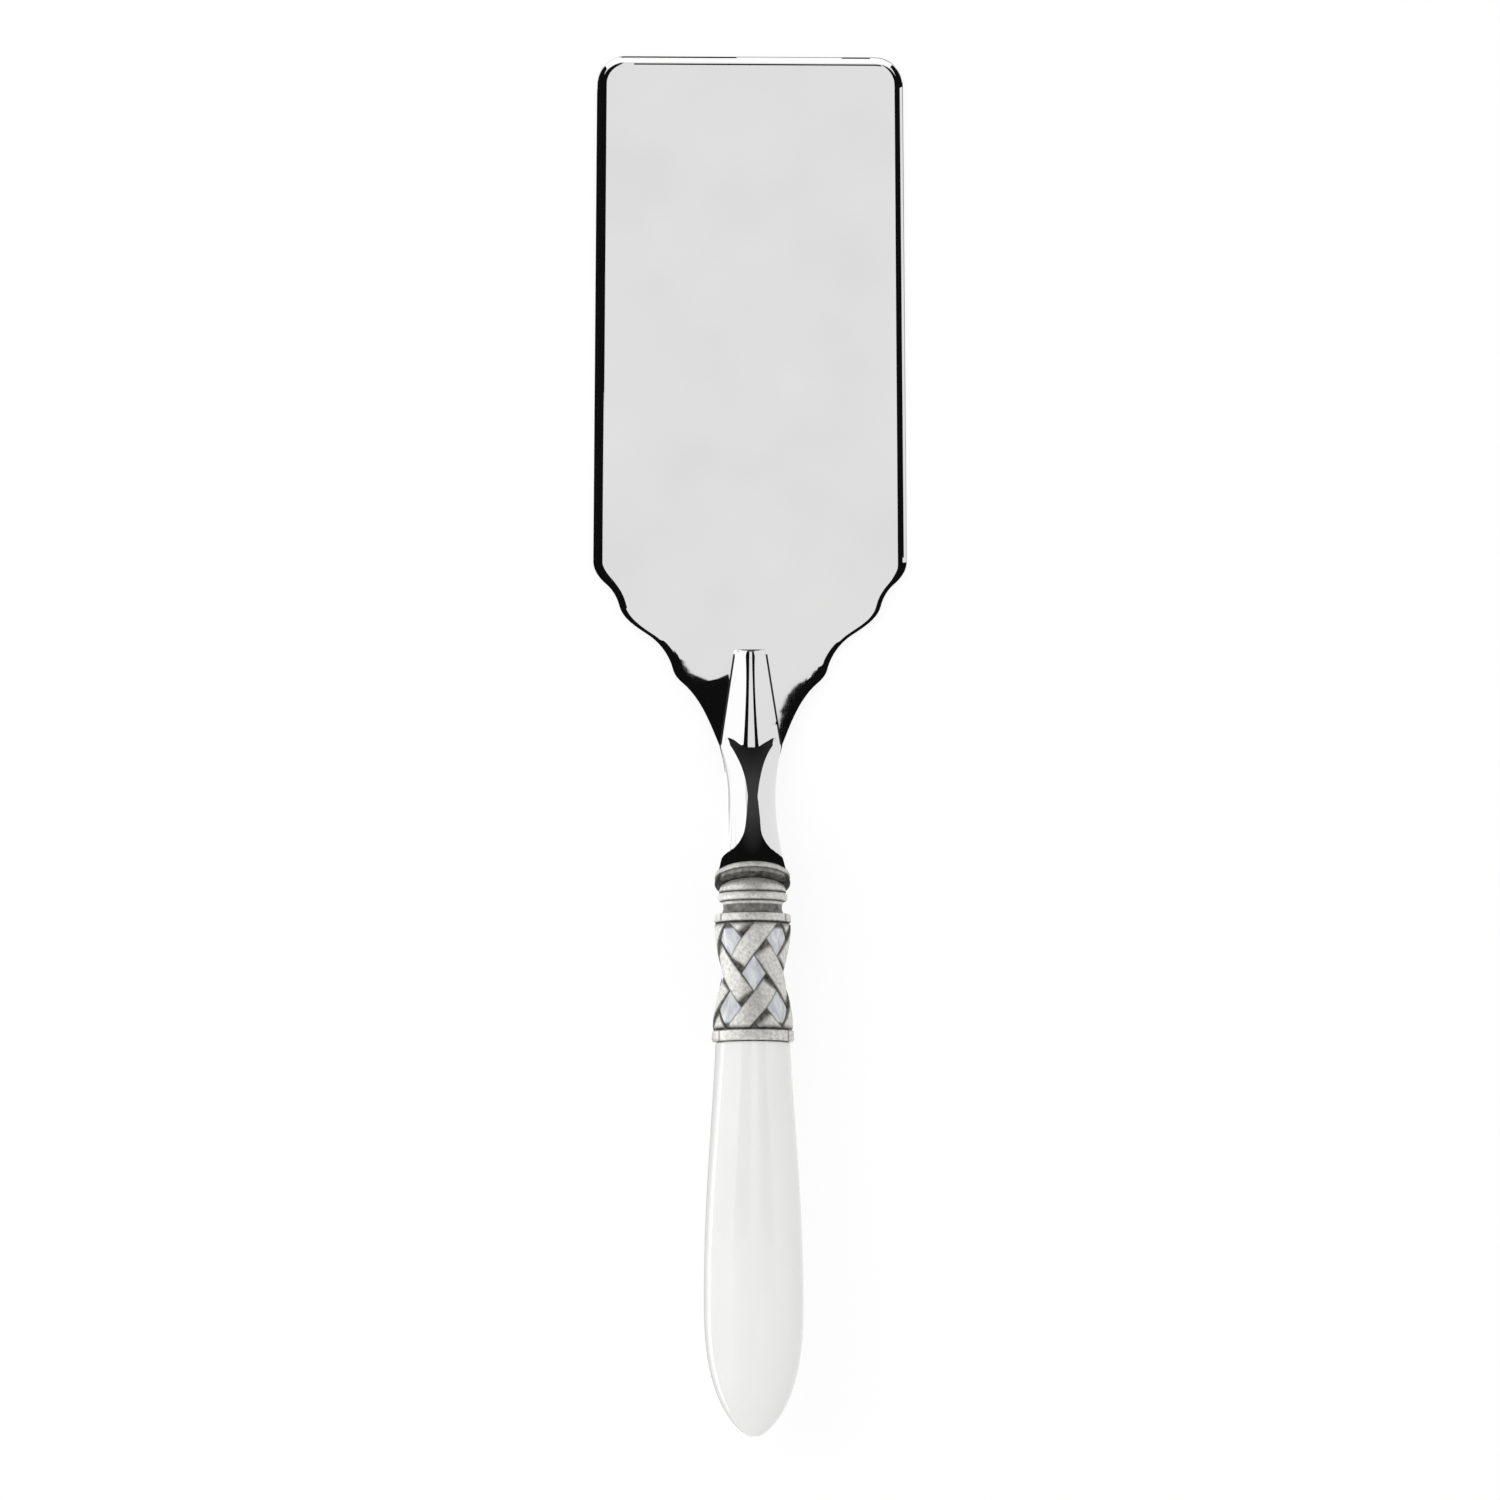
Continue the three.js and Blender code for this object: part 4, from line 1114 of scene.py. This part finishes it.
def make_under_card(material, shift=Vector((-3 * MM, -6 * MM))):
    """Black card in the outline of the blade, under it, that sticks out to the left and to the rear."""
    right = half_outline()
    left = [Vector((-point.x, point.y)) for point in reversed(right[1:-1])]
    corners = []
    for point in right + left:
        place = point + shift
        corners.append((place.x, place.y + ROOT_Y, GROUND))
    make_shaped_card("under_card", corners, material)


def sheet_top(x, ahead):
    """Height of the blade's upper face."""
    return BOTTOM + SHEET + blade_lift(ahead) + crown_rise(x, ahead)


def mirrored(spot, normal):
    """Direction in which the camera's line of sight leaves a polished spot."""
    return (spot - CAMERA_PLACE).reflect(normal.normalized())


def mirror_above_blade(x, ahead, height, step=0.1 * MM):
    """Place at a height that the camera sees mirrored at a point of the blade's upper face."""
    slope_x = (sheet_top(x + step, ahead) - sheet_top(x - step, ahead)) / (2 * step)
    slope_y = (sheet_top(x, ahead + step) - sheet_top(x, ahead - step)) / (2 * step)
    spot = Vector((x, ROOT_Y + ahead, sheet_top(x, ahead)))
    ray = mirrored(spot, Vector((-slope_x, -slope_y, 1)))
    return spot + ray * ((height - spot.z) / ray.z)


def neck_place(distance, angle):
    """Point of the neck at an angle round its section, from the right over the top to the left."""
    y, z, half_width, half_height, lean = neck_ring(distance)
    up = half_height * math.sin(angle)
    return Vector((half_width * math.cos(angle), y + up * math.sin(lean), z + up * math.cos(lean)))


def mirror_beside_neck(distance, angle, across, step=0.01 * MM, turn=0.001):
    """Place on an upright plane beside the neck that the camera sees mirrored at a point of the neck."""
    spot = neck_place(distance, angle)
    round_section = neck_place(distance, angle + turn) - neck_place(distance, angle - turn)
    along_neck = neck_place(distance + step, angle) - neck_place(distance - step, angle)
    ray = mirrored(spot, round_section.cross(along_neck))
    return spot + ray * ((across - spot.x) / ray.x)


def make_flare_card(name, bell_edge, across, material, short_of_lip=0.05 * MM, foot_back=1 * MM):
    """Upright card beside the flare, between the mirrored edge of the dark bell and the mirrored lip."""
    lip = NECK_LENGTH - FLANGE_THICKNESS - short_of_lip
    spare = Vector((0, -0.6 * MM, 1 * MM))
    low = []
    high = []
    for distance, degrees in bell_edge:
        angle = math.radians(degrees)
        low.append(mirror_beside_neck(distance * MM, angle, across))
        high.append(mirror_beside_neck(lip, angle, across) + spare)
    for row in (low, high):
        row.append(Vector((across, row[-1].y - foot_back, BOTTOM)))
    make_ribbon_card(name, low, high, material)


def shoulder_row(side, reach, start):
    """Points along one shoulder's outline, moved outwards: across, and ahead of the rear edge."""
    outline = [point for point in half_outline()[1:] if start <= point.y <= SHOULDER_START]
    row = []
    for before, point, after in zip([outline[0]] + outline, outline, outline[1:] + [outline[-1]]):
        along = (after - before).normalized()
        place = point + reach * Vector((along.y, -along.x))
        row.append((side * place.x, place.y))
    return row


def make_shoulder_fence(material, side, height, low_height=6.5 * MM, reach=0.5 * MM, start=8 * MM):
    """Black card that stands close to the outside of one shoulder, for a dark edge along the scallops."""
    foot = []
    top = []
    for x, ahead in shoulder_row(side, reach, start):
        above = between(low_height, height, share(ahead, 1.5 * start, 3 * start))
        foot.append(Vector((x, ROOT_Y + ahead, BOTTOM)))
        top.append(Vector((x, ROOT_Y + ahead, sheet_top(x, ahead) + above)))
    make_ribbon_card("shoulder_fence", foot, top, material)


def make_root_flag(name, edge, far_corners, material):
    """Black card overhead whose near edge is mirrored in the blade's root along (across, ahead) places."""
    corners = [mirror_above_blade(x * MM, ahead * MM, ROOT_FLAG_LEVEL) for x, ahead in edge]
    corners += [Vector((x, y, ROOT_FLAG_LEVEL)) for x, y in far_corners]
    make_shaped_card(name, corners, material)


def make_rim_cards(black):
    """Dark lines along the two long rims."""
    make_card("left_low_flag", (-0.0362, 0.036, NEAR), (-0.034, 0.1505, NEAR), black)
    make_card("left_upright_flag", (-0.0362, 0.036, 0), (-0.0362, 0.15, NEAR), black)
    make_card("right_low_flag", (0.0346, 0.042, NEAR), (0.0438, 0.1505, NEAR), black)
    make_card("right_ground_flag", (0.03, 0.04, GROUND), (0.0372, 0.15, GROUND), black)


def make_tip_cards(black, white):
    """Dark, white and dark lines along the tip, and dark corners."""
    make_card("tip_low_flag", (-0.0263, 0.15475, NEAR), (0.0307, 0.1562, NEAR), black)
    make_card("tip_upright_card", (-0.0375, 0.158, 0), (0.0356, 0.158, 0.011), white)
    make_card("tip_ground_flag", (-0.03, 0.15, GROUND), (0.033, 0.1575, GROUND), black)
    for start, end in ((-0.0295, -0.003), (0.021, 0.0275)):
        make_card("tip_edge_flag", (start, 0.1575, 0), (end, 0.1575, 0.0016), black)
    make_card("left_corner_flag", (-0.0375, 0.149, 0), (-0.0375, 0.158, 0.011), black)
    make_card("right_corner_flag", (0.0375, 0.149, 0), (0.0375, 0.1603, 0.0107), black)


def make_shoulder_cards(black):
    """Dark scalloped edges, and dark areas at both sides of the tongue."""
    make_under_card(black)
    make_shoulder_fence(black, -1, 10 * MM)
    make_shoulder_fence(black, 1, 8 * MM)
    left_edge = [(-17, 20.4), (-13.8, 16.7), (-9.5, 14.9), (-7.3, 15.4), (-5, 16.5)]
    left_far = [(-0.033, 0.365), (-0.2, 0.365), (-0.36, 0.26)]
    left_far += [(-0.36, -0.06), (-0.06, -0.06), (-0.055, 0.035)]
    make_root_flag("left_root_flag", left_edge, left_far, black)
    right_edge = [(16.2, 18), (13.5, 15.8), (10.8, 14.1), (8.6, 11.6), (7.7, 9.2), (6.9, 6.8), (6.8, 3.8)]
    right_far = [(0.1, 0.365), (0.2, 0.365), (0.36, 0.26), (0.36, -0.06), (0.105, -0.06), (0.105, 0.05)]
    make_root_flag("right_root_flag", right_edge, right_far, black)


def make_neck_cards(black, white, pale):
    """Dark bell on the neck, its opening ahead and its foot beside the flare, and a white left side."""
    opening = [(-0.92, 0), (-0.825, 0.085), (-0.649, 0.257), (-0.526, 0.373), (-0.465, 0.449), (-0.43, 0.52)]
    opening += [(-0.39, 0.7), (-0.37, 1.25), (0.62, 1.25), (0.6, 0.6), (0.57, 0.47), (0.56, 0.427)]
    opening += [(0.587, 0.35), (0.687, 0.241), (0.841, 0.079), (0.92, 0)]
    graded = graded_material("graded_flag", (0.006, 0.25), (0.055, 0.75))
    make_shaped_card("front_flag", [(x, FRONT_FLAG_AT, z) for x, z in opening], graded)
    # Edge of the bell: millimetres behind the blade, and degrees round the neck from its right side
    left_bell = [(21.56, 109.8), (22.72, 114.4), (23.88, 120.7), (24.75, 128.6), (25.21, 138.8)]
    left_bell += [(25.37, 146.7), (25.56, 153), (25.8, 162)]
    right_bell = [(21.57, 70.8), (22.74, 67), (23.93, 61.6), (24.97, 53.5), (25.62, 42)]
    right_bell += [(25.81, 32.2), (25.92, 25.7), (26.1, 15)]
    make_flare_card("left_flare_card", left_bell, -FLARE_CARD_AT, black)
    make_flare_card("right_flare_card", right_bell, FLARE_CARD_AT, black)
    make_card("left_line_card", (-0.024, -0.0145, GROUND), (-0.0125, 0.004, GROUND), pale)
    make_card("left_card", (-0.9, -0.6, 0), (-0.9, 2, 1.5), white)
    make_card("left_ground_card", (-0.9, -0.2, LOW), (-0.008, 0, LOW), white)
    make_card("left_far_card", (-0.9, 0, LOW), (-0.05, 0.3, LOW), white)


def make_handle_cards(grey, strip):
    """Grey left edge of the handle and the bright stripe along it."""
    make_card("handle_edge_card", (-0.042, -0.18, GROUND), (-0.008, -0.066, GROUND), grey)
    make_card("handle_strip", (-0.1, -0.2, GROUND), (-0.064, -0.045, GROUND), strip)


def make_cards():
    black = card_material("black_flag", 0.006)
    white = card_material("white_card", 1.35)
    make_rim_cards(black)
    make_tip_cards(black, white)
    make_shoulder_cards(black)
    make_neck_cards(black, white, card_material("pale_card", 0.8))
    make_handle_cards(card_material("grey_card", 0.5), card_material("bright_strip", 5))


def make_lamp(place=Vector((-0.5, 0.15, 0.95)), size=0.7, power=2.8):
    bpy.ops.object.light_add(type="AREA", location=place)
    lamp = bpy.context.object
    lamp.name = "soft_key"
    lamp.data.shape = "SQUARE"
    lamp.data.size = size
    lamp.data.energy = power
    lamp.rotation_euler = (-place).to_track_quat("-Z", "Y").to_euler()
    lamp.visible_glossy = False


def make_camera():
    """High above, a little to the left and back, so the raised handle shows right of the blade's axis."""
    bpy.ops.object.camera_add(location=CAMERA_PLACE)
    camera = bpy.context.object
    reach = (Vector((0, PICTURE_MIDDLE, 0)) - CAMERA_PLACE).length
    tip_up = math.asin((PICTURE_MIDDLE - CAMERA_Y) / reach)
    camera.rotation_euler = (tip_up, math.atan2(CAMERA_X, CAMERA_HEIGHT), 0)
    camera.data.lens = camera.data.sensor_width * reach / PICTURE_WIDTH
    bpy.context.scene.camera = camera


# Whole object
steel = polished_steel()
silver = antique_silver()
make_blade(steel)
make_neck_body(steel)
make_neck_tongue(steel)
make_flange_lip(silver)
make_ferrule_cap(silver)
make_collar(
    "upper_collar_ring", "upper_collar", silver, UPPER_COLLAR_AT, UPPER_COLLAR_WIDTH,
    core_radius(0) + SEAT_GAP, UPPER_COLLAR_RADIUS, UPPER_COLLAR_AT + UPPER_COLLAR_WIDTH,
)
make_weave(silver)
make_collar(
    "lower_collar_ring", "lower_collar", silver, LOWER_COLLAR_AT, LOWER_COLLAR_WIDTH,
    core_radius(SLEEVE_LENGTH) + SEAT_GAP, LOWER_COLLAR_RADIUS, LOWER_COLLAR_AT,
)
make_handle_core(pearl_window())
make_handle_grip(pearl_acrylic())
for node, material in (("tang", tang_steel()), ("tang_adhesive", cured_epoxy())):
    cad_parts[node].data.materials.clear()
    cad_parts[node].data.materials.append(material)

make_world()
make_floor()
make_cards()
make_lamp()
make_camera()
bpy.context.scene.view_settings.view_transform = "Standard"
